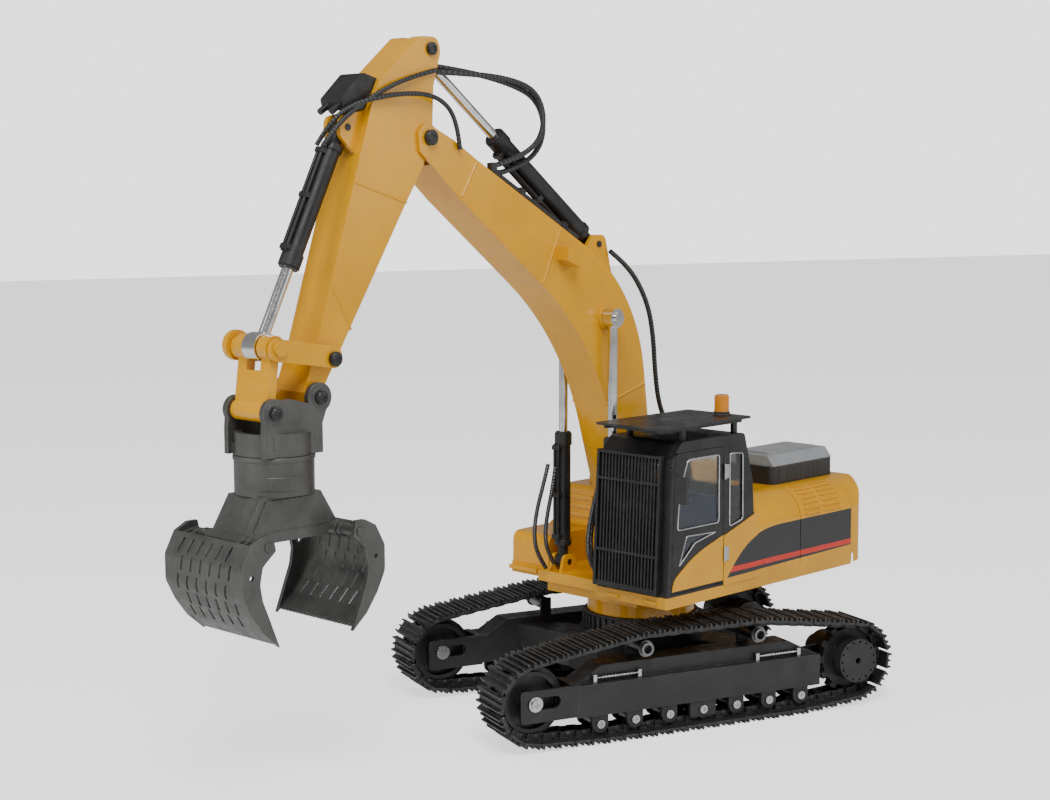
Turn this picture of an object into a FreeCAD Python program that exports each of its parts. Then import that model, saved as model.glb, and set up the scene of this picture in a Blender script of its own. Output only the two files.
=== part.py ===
"""Tracked toy excavator with a sorting grapple.

The undercarriage frame has its origin on the ground under the slew axis: X points along the
tracks to the idlers, Y to the left track and Z up.  Everything above the slew ring is drawn in
the same axes and then turned about Z by the slew angle.
"""
import FreeCAD, Part
import math
import os
import Sketcher
from FreeCAD import Placement, Rotation, Vector

SIZES = {
    # undercarriage
    "slew_turn": 19.9,
    "slew_x": -89.5,
    "slew_y": -11.3,
    "track_gauge": 142.7,
    "shoe_width": 34.0,
    "shoe_thickness": 1.4,
    "grouser_depth": 2.3,
    "pin_line": 5.6,
    "pin_radius": 1.0,
    "link_shoulder": 1.9,
    "link_plate": 1.2,
    "rail_half": 7.3,
    "wheel_radius": 22.1,
    "idler_x": 121.0,
    "idler_z": 30.2,
    "sprocket_x": -117.0,
    "sprocket_z": 31.0,
    "sprocket_hub": 14.6,
    "roller_spacing": 25.0,
    "roller_z": 11.6,
    "carrier_x": 42.0,
    "carrier_z": 56.0,
    "carrier_radius": 4.4,
    "frame_front": 91.0,
    "frame_rear": -89.0,
    "frame_low": 17.5,
    "frame_high": 38.0,
    "frame_crest": 48.0,
    "frame_half": 12.65,
    "frame_skin": 2.3,
    "fork_front": 131.0,
    "slew_low": 49.5,
    "slew_high": 62.0,
    "slew_radius": 38.6,
    "king_radius": 12.0,
    "running_gap": 0.05,
    "body_gap": 0.3,
    # superstructure
    "drum_radius": 36.5,
    "deck_low": 82.7,
    "deck_high": 90.0,
    "deck_front": 65.7,
    "deck_half": 78.0,
    "body_top": 143.0,
    "shoulder_radius": 21.0,
    "panel_wall": 2.4,
    "hood_front": -26.5,
    "hood_split": -74.5,
    "hood_rear": -134.5,
    "tail": -167.0,
    "cab_inner": 18.5,
    "cab_roof": 187.5,
    "cab_rear": -22.5,
    "cab_wall": 2.4,
    "door_hinge": 9.4,
    "door_skin": 0.6,
    "guard_low": 196.4,
    "guard_sheet": 1.4,
    # boom, stick and their pivots, in the plane of the boom
    "boom_offset": -10.0,
    "boom_cheek": 1.7,
    "boom_foot_x": -1.0,
    "boom_foot_z": 106.0,
    "eye_x": 42.3,
    "eye_z": 261.9,
    "lift_foot_x": 43.5,
    "lift_foot_z": 96.0,
    "lift_spread": 22.0,
    "stick_pivot_x": 195.6,
    "stick_pivot_z": 375.8,
    "stick_half": 13.0,
    "crowd_foot_x": 39.9,
    "crowd_foot_z": 309.5,
    "stick_top_x": 192.3,
    "stick_top_z": 427.4,
    "curl_foot_x": 252.0,
    "curl_foot_z": 381.0,
    "tip_x": 284.5,
    "tip_z": 230.3,
    "rocker_x": 273.5,
    "rocker_z": 251.2,
    "cross_x": 312.0,
    "cross_z": 259.4,
    "hanger_x": 316.5,
    "hanger_z": 224.0,
    "tip_boss": 1.3,
    "pivot_radius": 3.0,
    "bolt_radius": 2.5,
    # grapple
    "grapple_x": 303.3,
    "neck_radius": 21.9,
    "neck_low": 199.3,
    "neck_high": 212.0,
    "collar_radius": 22.6,
    "collar_low": 177.3,
    "yoke_half": 15.0,
    "jaw_pivot_out": 32.4,
    "jaw_pivot_z": 154.4,
    "jaw_half": 35.5,
    "jaw_plate": 2.5,
    "jaw_shell": 2.2,
    # hoses
    "hose_radius": 1.7,
    "thin_hose_radius": 1.4,
}
LINKS = 54
TEETH = 12
ROLLERS = 7

document = FreeCAD.newDocument("excavator")
nodes = []
carved = []


# ---------------------------------------------------------------- sizes and expressions

class Size:
    """A length that carries its value and the sheet expression that gives it."""

    def __init__(self, value, text):
        self.value = value
        self.text = text

    def __add__(self, other):
        return Size(self.value + number(other), "(%s + %s)" % (self.text, text(other)))

    def __sub__(self, other):
        return Size(self.value - number(other), "(%s - %s)" % (self.text, text(other)))

    def __mul__(self, other):
        return Size(self.value * number(other), "(%s * %s)" % (self.text, text(other)))

    def __truediv__(self, other):
        return Size(self.value / number(other), "(%s / %s)" % (self.text, text(other)))

    def __neg__(self):
        return Size(-self.value, "(0 - %s)" % self.text)

    def __radd__(self, other):
        return self + other

    def __rsub__(self, other):
        return -self + other

    def __rmul__(self, other):
        return self * other


def number(size):
    return size.value if isinstance(size, Size) else float(size)


def text(size):
    return size.text if isinstance(size, Size) else "(%.6g)" % size


class Sheet:
    """The spreadsheet of driving sizes, read by alias."""

    def __init__(self, values):
        self.values = values
        cells = document.addObject("Spreadsheet::Sheet", "sizes")
        for row, (alias, value) in enumerate(values.items(), start=1):
            cells.set("A%d" % row, alias)
            cells.set("B%d" % row, str(value))
            cells.setAlias("B%d" % row, alias)
        document.recompute()

    def __getattr__(self, alias):
        return Size(self.values[alias], "sizes.%s" % alias)


s = Sheet(SIZES)
TRACK_Y = s.track_gauge / 2
BOOM_HALF = s.stick_half + s.body_gap + s.boom_cheek
LINK_HALF = s.stick_half + s.tip_boss
ROW = Placement(Vector(s.slew_x.value, s.slew_y.value, 0), Rotation())
UPPER = ROW.multiply(Placement(Vector(), Rotation(Vector(0, 0, 1), s.slew_turn.value)))


def at(wide):
    """Y of a plane that lies `wide` to the left of the middle of the boom."""
    return s.boom_offset + wide


def bind(item, path, size):
    if isinstance(size, Size):
        item.setExpression(path, size.text)


def put(item, x, y, z, rotation=Rotation()):
    item.Placement = Placement(Vector(number(x), number(y), number(z)), rotation)
    for axis, size in zip("xyz", (x, y, z)):
        bind(item, "Placement.Base." + axis, size)
    return item


def move(item, placement):
    """Give an item a turned place that its own corner expressions don't describe."""
    for path, _ in item.ExpressionEngine:
        if "Placement" in path:
            item.setExpression(path, None)
    item.Placement = placement
    return item


def node(label, item, frame=UPPER):
    """Make one item a sub-part of the machine."""
    item.Label = label
    move(item, frame.multiply(item.Placement))
    nodes.append(item)
    return item


# ---------------------------------------------------------------- primitives and booleans

def block(x, y, z):
    """A box between pairs of coordinates."""
    item = document.addObject("Part::Box", "block")
    for name, (low, high) in zip(("Length", "Width", "Height"), (x, y, z)):
        size = high - low
        setattr(item, name, number(size))
        bind(item, name, size)
    return put(item, x[0], y[0], z[0])


TURNS = {
    "X": Rotation(Vector(0, 1, 0), 90),
    "Y": Rotation(Vector(1, 0, 0), -90),
    "Z": Rotation(),
}


def rod(radius, start, length, axis="Y", turn=None):
    """A round bar from a start point along an axis."""
    item = document.addObject("Part::Cylinder", "rod")
    item.Radius = number(radius)
    item.Height = number(length)
    bind(item, "Radius", radius)
    bind(item, "Height", length)
    return put(item, *start, TURNS[axis] if turn is None else turn)


def across(radius, x, z, low, high):
    """A round bar across the machine between two distances from the boom's middle plane."""
    return rod(radius, (x, at(low), z), high - low)


def tilted_rod(radius, first, last):
    """A round bar between two fixed points."""
    run = Vector(*last) - Vector(*first)
    return rod(radius, first, run.Length, turn=Rotation(Vector(0, 0, 1), run))


def fuse(items):
    result = document.addObject("Part::MultiFuse", "joined")
    result.Shapes = items
    return result


def cut(base, tools):
    tool = tools[0] if len(tools) == 1 else fuse(tools)
    result = document.addObject("Part::Cut", "cut")
    result.Base = base
    result.Tool = tool
    return result


def group(items):
    """Separate solids held in one sub-part."""
    result = document.addObject("Part::Compound", "group")
    result.Links = items
    return result


def shaped(name, shape):
    item = document.addObject("Part::Feature", name)
    item.Shape = shape
    return item


# ---------------------------------------------------------------- sketched bodies

def corner_arc(before, corner, after, radius):
    """Tangent points and centre of the arc that rounds one corner of an outline."""
    into = (corner - before).normalize()
    out = (after - corner).normalize()
    turn = into.getAngle(out)
    reach = radius * math.tan(turn / 2)
    start = corner - into * reach
    end = corner + out * reach
    side = 1 if into.cross(out).z > 0 else -1
    centre = start + Vector(-into.y, into.x, 0) * (side * radius)
    return start, end, centre, side


def fix_point(drawing, shape, position, place):
    for kind, size in zip(("DistanceX", "DistanceY"), place):
        index = drawing.addConstraint(
            Sketcher.Constraint(kind, -1, 1, shape, position, number(size)))
        bind(drawing, "Constraints[%d]" % index, size)


def draw_outline(drawing, outline):
    """A closed outline of straight edges, where a third value rounds a corner."""
    count = len(outline)
    points = [Vector(number(p[0]), number(p[1]), 0) for p in outline]
    leave = list(points)
    reach = list(points)
    arcs = {}
    for i, place in enumerate(outline):
        if len(place) == 3:
            arc = corner_arc(points[i - 1], points[i], points[(i + 1) % count], number(place[2]))
            reach[i], leave[i] = arc[0], arc[1]
            arcs[i] = arc
    edges = [Part.LineSegment(leave[i], reach[(i + 1) % count]) for i in range(count)]
    first = drawing.addGeometry(edges)[0]
    for i, place in enumerate(outline):
        last = first + (i - 1) % count
        if i in arcs:
            round_corner(drawing, last, first + i, points[i], place, arcs[i])
        else:
            drawing.addConstraint(Sketcher.Constraint("Coincident", last, 2, first + i, 1))
            fix_point(drawing, first + i, 1, place[:2])


def round_corner(drawing, last, following, corner, place, arc):
    start, end, centre, side = arc
    angles = [math.atan2(p.y - centre.y, p.x - centre.x) for p in (start, end)]
    if side < 0:
        angles.reverse()
    if angles[1] < angles[0]:
        angles[1] += 2 * math.pi
    circle = Part.Circle(centre, Vector(0, 0, 1), number(place[2]))
    bend = drawing.addGeometry(Part.ArcOfCircle(circle, *angles))
    mark = drawing.addGeometry(Part.Point(corner), True)
    enter, leave = (1, 2) if side > 0 else (2, 1)
    drawing.addConstraint(Sketcher.Constraint("Tangent", last, 2, bend, enter))
    drawing.addConstraint(Sketcher.Constraint("Tangent", bend, leave, following, 1))
    fix_point(drawing, mark, 1, place[:2])
    drawing.addConstraint(Sketcher.Constraint("PointOnObject", mark, 1, last))
    drawing.addConstraint(Sketcher.Constraint("PointOnObject", mark, 1, following))
    index = drawing.addConstraint(Sketcher.Constraint("Radius", bend, number(place[2])))
    bind(drawing, "Constraints[%d]" % index, place[2])


def sketch(body, plane, offset, outline, circles):
    drawing = body.newObject("Sketcher::SketchObject", "outline")
    face = [f for f in body.Origin.OriginFeatures if f.Role == plane + "_Plane"][0]
    drawing.AttachmentSupport = [(face, "")]
    drawing.MapMode = "FlatFace"
    drawing.AttachmentOffset = Placement(Vector(0, 0, number(offset)), Rotation())
    bind(drawing, "AttachmentOffset.Base.z", offset)
    if outline:
        draw_outline(drawing, outline)
    for x, y, radius in circles:
        circle = Part.Circle(Vector(number(x), number(y), 0), Vector(0, 0, 1), number(radius))
        ring = drawing.addGeometry(circle)
        fix_point(drawing, ring, 3, (x, y))
        index = drawing.addConstraint(Sketcher.Constraint("Radius", ring, number(radius)))
        bind(drawing, "Constraints[%d]" % index, radius)
    return drawing


def pad(body, plane, low, high, outline, circles=()):
    """Raise an outline between two heights above an origin plane."""
    feature = body.newObject("PartDesign::Pad", "raised")
    feature.Profile = sketch(body, plane, -high if plane == "XZ" else low, outline, circles)
    feature.Length = number(high - low)
    bind(feature, "Length", high - low)
    body.Tip = feature
    return body


def pocket(body, plane, low, high, outline, circles=()):
    """Cut an outline away between two heights above an origin plane."""
    feature = body.newObject("PartDesign::Pocket", "sunk")
    feature.Profile = sketch(body, plane, -low if plane == "XZ" else high, outline, circles)
    feature.Length = number(high - low)
    bind(feature, "Length", high - low)
    carved.append(feature)
    body.Tip = feature
    return body


def new_body():
    return document.addObject("PartDesign::Body", "body")


def plate(plane, low, high, outline, circles=()):
    return pad(new_body(), plane, low, high, outline, circles)


def lug(low, high, outline, circles=()):
    """A plate that stands parallel to the boom, measured from the boom's middle plane."""
    return plate("XZ", at(low), at(high), outline, circles)


def pair(inner, outer, outline, circles=()):
    """The same plate on both sides of the boom's middle plane."""
    return [lug(inner, outer, outline, circles), lug(-outer, -inner, outline, circles)]


# ---------------------------------------------------------------- tracks

def tangent(first, last):
    """Where a belt leaves one circle and meets the next, with the circles on its left."""
    run = Vector(last[0] - first[0], last[1] - first[1], 0)
    along = Vector(run).normalize()
    lead = (first[2] - last[2]) / run.Length
    out = along * lead + Vector(along.y, -along.x, 0) * math.sqrt(1 - lead * lead)
    ends = [Vector(c[0], c[1], 0) + out * c[2] for c in (first, last)]
    return ends, math.atan2(out.y, out.x)


def belt_path():
    """Straight runs and arcs of the pin line: (length, point as a function of distance)."""
    carrier = (s.carrier_radius + s.link_shoulder + 0.9).value
    roller = (s.roller_z - s.pin_line).value
    reach = (s.roller_spacing * ((ROLLERS - 1) / 2)).value
    wheels = [
        (s.idler_x.value, s.idler_z.value, s.wheel_radius.value),
        (s.carrier_x.value, s.carrier_z.value, carrier),
        (-s.carrier_x.value, s.carrier_z.value, carrier),
        (s.sprocket_x.value, s.sprocket_z.value, s.wheel_radius.value),
        (-reach, s.roller_z.value, roller),
        (reach, s.roller_z.value, roller),
    ]
    spans = [tangent(a, b) for a, b in zip(wheels, wheels[1:] + wheels[:1])]
    pieces = []
    for i, (ends, angle) in enumerate(spans):
        run = ends[1] - ends[0]
        pieces.append((run.Length, "run", ends[0], run.normalize()))
        x, z, radius = wheels[(i + 1) % len(wheels)]
        turn = (spans[(i + 1) % len(spans)][1] - angle) % (2 * math.pi)
        pieces.append((turn * radius, "arc", Vector(x, z, 0), (radius, angle)))
    return pieces


def belt_point(pieces, distance):
    distance = distance % sum(piece[0] for piece in pieces)
    for length, kind, origin, shape in pieces:
        if distance <= length:
            break
        distance -= length
    if kind == "run":
        return origin + shape * distance
    radius, angle = shape
    bearing = angle + distance / radius
    return origin + Vector(math.cos(bearing), math.sin(bearing), 0) * radius


def walk_belt(pieces, pitch):
    """Pins one pitch apart along the belt, and how far the last one lies along it."""
    along = 0.0
    pins = [belt_point(pieces, along)]
    for _ in range(LINKS):
        step = pitch
        for _ in range(8):
            step += pitch - (belt_point(pieces, along + step) - pins[-1]).Length
        along += step
        pins.append(belt_point(pieces, along))
    return pins, along


def track_pins():
    """The pins of a closed track, with the pitch that closes it."""
    pieces = belt_path()
    total = sum(piece[0] for piece in pieces)
    low, high = 0.9 * total / LINKS, total / LINKS
    for _ in range(40):
        pitch = (low + high) / 2
        if walk_belt(pieces, pitch)[1] < total:
            low = pitch
        else:
            high = pitch
    return walk_belt(pieces, pitch)[0], pitch


def link_profile(pitch):
    """Section of one shoe: a flat plate with three grousers under it."""
    back = -s.link_shoulder
    face = back - s.shoe_thickness
    tread = face - s.grouser_depth
    gap = 0.35
    middle = pitch / 2
    profile = [(gap, back), (gap, face)]
    for centre, half, depth in ((gap + 1.1, 0.55, tread), (middle, 0.5, tread + 0.5),
                                (pitch - gap - 1.1, 0.55, tread)):
        profile += [(centre - half - 0.3, face), (centre - half, depth)]
        profile += [(centre + half, depth), (centre + half + 0.3, face)]
    return profile + [(pitch - gap, face), (pitch - gap, back)]


def track_link(pitch):
    """One link, lying as it does under the bottom run, with its first pin at the origin."""
    half = s.shoe_width / 2
    shoe = plate("XZ", -half, half, link_profile(pitch))
    solids = [shoe]
    holes = []
    shoulder = s.link_shoulder - 0.1
    for side in (1, -1):
        outer = (s.rail_half - s.link_plate, s.rail_half)
        inner = (outer[0] - s.link_plate - 0.2, outer[0] - 0.2)
        for (low, high), (x0, x1), eye in ((outer, (0, 6), 0), (inner, (5, pitch), pitch)):
            y = (low, high) if side > 0 else (-high, -low)
            solids.append(block((x0, x1), y, (-s.link_shoulder, shoulder)))
            solids.append(rod(shoulder, (eye, y[0], 0), s.link_plate))
            if eye:
                holes.append(rod(s.pin_radius + 0.08, (eye, y[0] - 0.5, 0), s.link_plate + 1))
    body = cut(fuse(solids), holes)
    reach = s.rail_half + 0.7
    pin = s.link_plate * 2 + 0.9
    pins = [rod(s.pin_radius, (0, y, 0), pin) for y in (-reach, reach - pin)]
    heads = [rod(s.pin_radius + 0.35, (0, y, 0), 0.7) for y in (-reach, s.rail_half)]
    return fuse([body] + pins + heads)


def tracks():
    pins, pitch = track_pins()
    link = track_link(pitch)
    document.recompute()
    for label, side in (("track_left", 1), ("track_right", -1)):
        chain = []
        for start, end in zip(pins, pins[1:]):
            run = end - start
            turn = Rotation(Vector(0, 1, 0), -math.degrees(math.atan2(run.y, run.x)))
            copy = link.Shape.Solids[0].copy()
            copy.Placement = Placement(Vector(start.x, side * TRACK_Y.value, start.y), turn)
            chain.append(copy)
        node(label, shaped(label, Part.makeCompound(chain)), ROW)
    return pitch


# ---------------------------------------------------------------- undercarriage

def y_span(side, low, high):
    """Distances out from the middle of one track, as a pair of Y values."""
    centre = TRACK_Y * side
    ends = (centre + side * low, centre + side * high)
    return ends if side > 0 else ends[::-1]


def chassis():
    """The cross-shaped centre frame and its bearing pad."""
    reach = TRACK_Y - s.frame_half + 2.3
    outline = []
    for sign in (1, -1):
        outline += [(46 * sign, -18 * sign), (46 * sign, 18 * sign), (64 * sign, reach * sign),
                    (40 * sign, reach * sign), (24 * sign, 36 * sign), (-24 * sign, 36 * sign),
                    (-40 * sign, reach * sign), (-64 * sign, reach * sign)]
    cross = plate("XY", 22, 44, outline)
    pad(cross, "XY", 44, s.slew_low, [], [(0, 0, s.slew_radius + 3)])
    pocket(cross, "XY", 22, 30, [], [(0, 0, 26)])
    node("chassis_frame", cross, ROW)


def roller_places():
    middle = (ROLLERS - 1) / 2
    return [s.roller_spacing * (i - middle) for i in range(ROLLERS)]


def side_frame(label, side):
    inner = -s.frame_half + 2.3
    beam = plate("XZ", *y_span(side, inner, s.frame_half - s.frame_skin), [
        (s.frame_rear, s.frame_low + 2), (s.frame_front, s.frame_low + 2),
        (s.frame_front, s.frame_high), (s.frame_rear, s.frame_high)])
    crest = plate("XZ", *y_span(side, inner, 6.9), [
        (s.frame_rear + 2, s.frame_high), (s.frame_front - 2, s.frame_high),
        (72, s.frame_crest), (-68, s.frame_crest)])
    skin = plate("XZ", *y_span(side, s.frame_half - s.frame_skin, s.frame_half), [
        (s.frame_rear, s.frame_low), (s.frame_front, s.frame_low),
        (s.frame_front, s.frame_high), (s.frame_rear, s.frame_high)])
    parts = [beam, crest, skin]
    for low in (s.frame_half - 4.6, inner - 0.7):
        for i, x in enumerate(roller_places()):
            y = y_span(side, low, low + 3)
            width = 9.5 if i == ROLLERS // 2 else 5.6
            foot = s.roller_z - 4.6 if i == ROLLERS // 2 else s.roller_z
            parts.append(block((x - width, x + width), y, (foot, s.frame_low + 2)))
            parts.append(rod(5.6, (x, y[0], s.roller_z), 3))
    brackets = [block((x - 4, x + 4), y_span(side, inner, inner + 2),
                      (s.frame_crest, s.carrier_z + 4))
                for x in (s.carrier_x, -s.carrier_x)]
    holes = [wheel_bar(side, x, s.roller_z, 1.6, -s.frame_half, s.frame_half + 1)
             for x in roller_places()]
    node(label, cut(fuse(parts + brackets), holes), ROW)


def track_rollers():
    """The seven bottom rollers of each track, with their axles."""
    radius = s.roller_z - s.pin_line - s.link_shoulder - 0.35
    end = s.frame_half - 4.6
    rollers = []
    for side in (1, -1):
        for x in roller_places():
            wheel = wheel_bar(side, x, s.roller_z, radius, -s.rail_half, s.rail_half)
            axle = wheel_bar(side, x, s.roller_z, 1.9, -end, end)
            rollers.append(fuse([wheel, axle]))
    node("track_rollers", group(rollers), ROW)


def carrier_rollers():
    """Two carrier rollers under each top run, sleeves with a hollow outer end."""
    rollers = []
    for side in (1, -1):
        for x in (s.carrier_x, -s.carrier_x):
            place = (side, x, s.carrier_z)
            sleeve = wheel_bar(*place, s.carrier_radius, -s.frame_half + 4.3, 13)
            lip = wheel_bar(*place, s.carrier_radius + 0.9, 9.2, 10.6)
            mouth = wheel_bar(*place, s.carrier_radius - 1.6, 7, 14)
            rollers.append(cut(fuse([sleeve, lip]), [mouth]))
    node("carrier_rollers", group(rollers), ROW)


def wheel_bar(side, x, z, radius, low, high):
    ends = y_span(side, low, high)
    return rod(radius, (x, ends[0], z), ends[1] - ends[0])


def idler(label, side):
    """The front wheel: a tread that carries the links and a flange between them."""
    tread = s.wheel_radius - s.link_shoulder - 0.85
    place = (s.idler_x, s.idler_z)
    wheel = fuse([wheel_bar(side, *place, tread, -s.rail_half, s.rail_half),
                  wheel_bar(side, *place, tread + 3.2, -3.9, 3.9),
                  wheel_bar(side, *place, 6.5, -7.9, 10.2)])
    hollows = [wheel_bar(side, *place, s.bolt_radius + s.running_gap, -9, 11)]
    for low, high in ((3.2, 9), (-9, -3.2)):
        ring = cut(wheel_bar(side, *place, tread - 2.6, low, high),
                   [wheel_bar(side, *place, 8, low - 0.5, high + 0.5)])
        hollows.append(ring)
    node(label, cut(wheel, hollows), ROW)


def idler_fork(side):
    """The yoke that holds one idler, with a slot for tensioning the track."""
    low, high, rear = s.frame_low + 0.9, s.frame_high + 0.6, s.frame_front
    front = s.fork_front
    slot = [(s.idler_x - 17.5, s.idler_z - 3.9, 3.8), (s.idler_x + 5.5, s.idler_z - 3.9, 3.8),
            (s.idler_x + 5.5, s.idler_z + 3.9, 3.8), (s.idler_x - 17.5, s.idler_z + 3.9, 3.8)]
    outline = [(rear, low), (front, low, 2), (front, high, 2), (rear, high)]
    cheeks = []
    for inner, outer in ((s.frame_half - s.frame_skin, s.frame_half),
                         (-s.frame_half + 2.3, -s.frame_half + 4.6)):
        cheek = plate("XZ", *y_span(side, inner, outer), outline)
        pocket(cheek, "XZ", *y_span(side, inner - 0.5, outer + 0.5), slot)
        cheeks.append(cheek)
    web = block((rear, rear + 4), y_span(side, -s.frame_half + 2.3, s.frame_half), (low, high))
    return fuse(cheeks + [web])


def idler_axle(side):
    """Axle, slot shoes, washers and screw heads of one idler."""
    place = (s.idler_x, s.idler_z)
    skin, half = s.frame_skin, s.frame_half
    bars = [wheel_bar(side, *place, s.bolt_radius, -half + 2.6, half - 0.2),
            wheel_bar(side, *place, 3.7, half - skin + 0.1, half + 0.1),
            wheel_bar(side, *place, 4.8, half, half + 0.7),
            wheel_bar(side, *place, 3.2, half + 0.6, half + 2.2),
            wheel_bar(side, *place, 3.7, -half + 2.2, -half + 4.5),
            wheel_bar(side, *place, 4.8, -half + 1.3, -half + 2.3)]
    return cut(fuse(bars), cross_recess(side, s.idler_x, s.idler_z, half + 1.4, half + 2.3, 2.0))


def cross_recess(side, x, z, low, high, reach):
    """The cross slot in a screw head."""
    y = y_span(side, low, high)
    return [block((x - reach, x + reach), y, (z - 0.35, z + 0.35)),
            block((x - 0.35, x + 0.35), y, (z - reach, z + reach))]


def roller_screw(side, x):
    ends = s.frame_half - 1.6
    head = wheel_bar(side, x, s.roller_z, 2.7, ends, ends + 1.3)
    shank = wheel_bar(side, x, s.roller_z, 1.5, ends - 3, ends + 0.1)
    return cut(fuse([head, shank]), cross_recess(side, x, s.roller_z, ends + 0.6, ends + 1.4, 1.7))


def undercarriage_screws():
    screws = [roller_screw(side, x) for side in (1, -1) for x in roller_places()]
    axles = [idler_axle(side) for side in (1, -1)]
    node("undercarriage_screws", group(screws + axles), ROW)


def sprocket(label, side):
    """The driven wheel: toothed between the link plates, with a drilled cover disc outside."""
    centre = (s.sprocket_x, s.sprocket_z)
    root = s.wheel_radius - s.link_shoulder - 0.15
    parts = [wheel_bar(side, *centre, root - 0.4, -4.1, 4.1),
             wheel_bar(side, *centre, 13, -s.rail_half, 9),
             wheel_bar(side, *centre, s.sprocket_hub, 9, 16.6)]
    tip = root + 2.9
    for i in range(TEETH):
        angle = 360 * i / TEETH
        tooth = block((root - 2, tip), (-3.8, 3.8), (-2.2, 2.2))
        turn = Rotation(Vector(0, 1, 0), -angle)
        hub = Vector(s.sprocket_x.value, side * TRACK_Y.value, s.sprocket_z.value)
        parts.append(move(tooth, Placement(hub, turn).multiply(tooth.Placement)))
    bore = wheel_bar(side, *centre, 5 + s.running_gap, -s.rail_half - 1, 11)
    holes = [bore, wheel_bar(side, *centre, 2.1, 10, 17)]
    for i in range(15):
        angle = math.radians(360 * i / 15)
        hole = wheel_bar(side, centre[0] + 12.9 * math.cos(angle), centre[1] + 12.9 * math.sin(angle),
                         0.85, 15, 17)
        holes.append(hole)
    node(label, cut(fuse(parts), holes), ROW)


def drive_motors():
    """Final drives: each a motor on a bracket, with the spigot that its sprocket turns on."""
    motors = []
    for side in (1, -1):
        centre = (s.sprocket_x, s.sprocket_z)
        inner = -s.frame_half + 2.3
        bracket = plate("XZ", *y_span(side, inner, inner + 2.6), [
            (s.sprocket_x - 9, s.sprocket_z - 9, 6), (s.frame_rear, s.frame_low + 4),
            (s.frame_rear, s.frame_high), (s.sprocket_x - 9, s.sprocket_z + 9, 6)])
        motors.append(fuse([bracket, wheel_bar(side, *centre, 5, inner + 1, 9.6),
                            wheel_bar(side, *centre, 13, inner - 15, inner),
                            wheel_bar(side, *centre, 8, inner - 24, inner - 15)]))
    node("drive_motors", group(motors), ROW)


def tension_springs():
    """Small springs held between posts along the top of each side frame."""
    springs = []
    for side in (1, -1):
        y = y_span(side, 8.2, 10.3)
        middle = (y[0] + y[1]) / 2
        height = s.frame_high + 3
        for start in (45, -75):
            posts = [block((x, x + 2.4), y, (s.frame_high, height + 2.2))
                     for x in (start, start + 32)]
            core = rod(0.6, (start + 2, middle, height), 31, "X")
            coils = [rod(1.05, (start + 5 + 2.2 * i, middle, height), 1.1, "X")
                     for i in range(11)]
            springs.append(fuse(posts + [core] + coils))
    node("tension_springs", group(springs), ROW)


def slew_ring():
    ring = plate("XY", s.slew_low, s.slew_high, [], [(0, 0, s.slew_radius)])
    pad(ring, "XY", s.slew_high, s.slew_high + 12, [], [(0, 0, s.king_radius)])
    teeth = []
    for i in range(48):
        tooth = block((s.slew_radius - 1, s.slew_radius + 1.4), (-1.3, 1.3),
                      (s.slew_low + 2, s.slew_high - 1.5))
        turn = Rotation(Vector(0, 0, 1), 360 * i / 48)
        teeth.append(move(tooth, Placement(Vector(), turn).multiply(tooth.Placement)))
    node("slew_ring", fuse([ring] + teeth), ROW)


# ---------------------------------------------------------------- superstructure

def deck():
    """The turning platform: deck plate, drum, boom-foot ears and lift-cylinder ears."""
    half = s.deck_half
    plan = [(s.deck_front, s.cab_inner - 0.5), (s.deck_front, half, 1.5), (s.hood_rear, half),
            (s.tail + 8, 62, 12), (s.tail + 8, -62, 12), (s.hood_rear, -half), (46, -half),
            (46, -44), (55, -44), (55, s.cab_inner - 0.5)]
    platform = plate("XY", s.deck_low, s.deck_high, plan)
    drum = rod(s.drum_radius, (0, 0, s.slew_high + s.body_gap),
               s.deck_low - s.slew_high - s.body_gap, "Z")
    skirt = block((-60, 50), (-40, 40), (s.deck_low - 7, s.deck_low))
    bore = rod(s.king_radius + s.running_gap, (0, 0, s.slew_high - 1), 14, "Z")
    parts = [platform, drum, skirt]
    foot_x, foot_z = s.boom_foot_x, s.boom_foot_z
    parts += pair(BOOM_HALF + 0.4, BOOM_HALF + 3.6, [
        (foot_x - 15, s.deck_high), (foot_x + 15, s.deck_high), (foot_x + 9, foot_z + 9, 7),
        (foot_x - 9, foot_z + 9, 7)], [(foot_x, foot_z, s.pivot_radius + s.running_gap)])
    for centre in (s.lift_spread, -s.lift_spread):
        for low in (3.9, -6.2):
            parts.append(lug(centre + low, centre + low + 2.3, [
                (s.lift_foot_x - 8, s.deck_high), (s.lift_foot_x + 8, s.deck_high),
                (s.lift_foot_x + 5, s.lift_foot_z + 5, 4), (s.lift_foot_x - 5, s.lift_foot_z + 5, 4)],
                [(s.lift_foot_x, s.lift_foot_z, 2 + s.running_gap)]))
    for left in (28, 60):
        parts.append(block((s.deck_front, s.deck_front + 0.9), (left, left + 10),
                           (s.deck_low + 1.8, s.deck_low + 4.3)))
    step = block((46, 51), (-76, -50), (s.deck_high - 4, s.deck_high - 1.5))
    motor = [rod(9, (27, s.boom_offset, s.deck_high), 12, "Z"),
             rod(6.5, (27, s.boom_offset, s.deck_high + 12), 4, "Z")]
    node("deck", cut(fuse(parts + motor + [step]), [bore]))


def deck_pins():
    """Boom foot pin and the two lift-cylinder foot pins."""
    pins = [across(s.pivot_radius, s.boom_foot_x, s.boom_foot_z, -BOOM_HALF - 4.4, BOOM_HALF + 4.4)]
    for centre in (s.lift_spread, -s.lift_spread):
        pins.append(across(2.0, s.lift_foot_x, s.lift_foot_z, centre - 6.4, centre + 6.3))
    node("deck_pins", group(pins))


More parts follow.
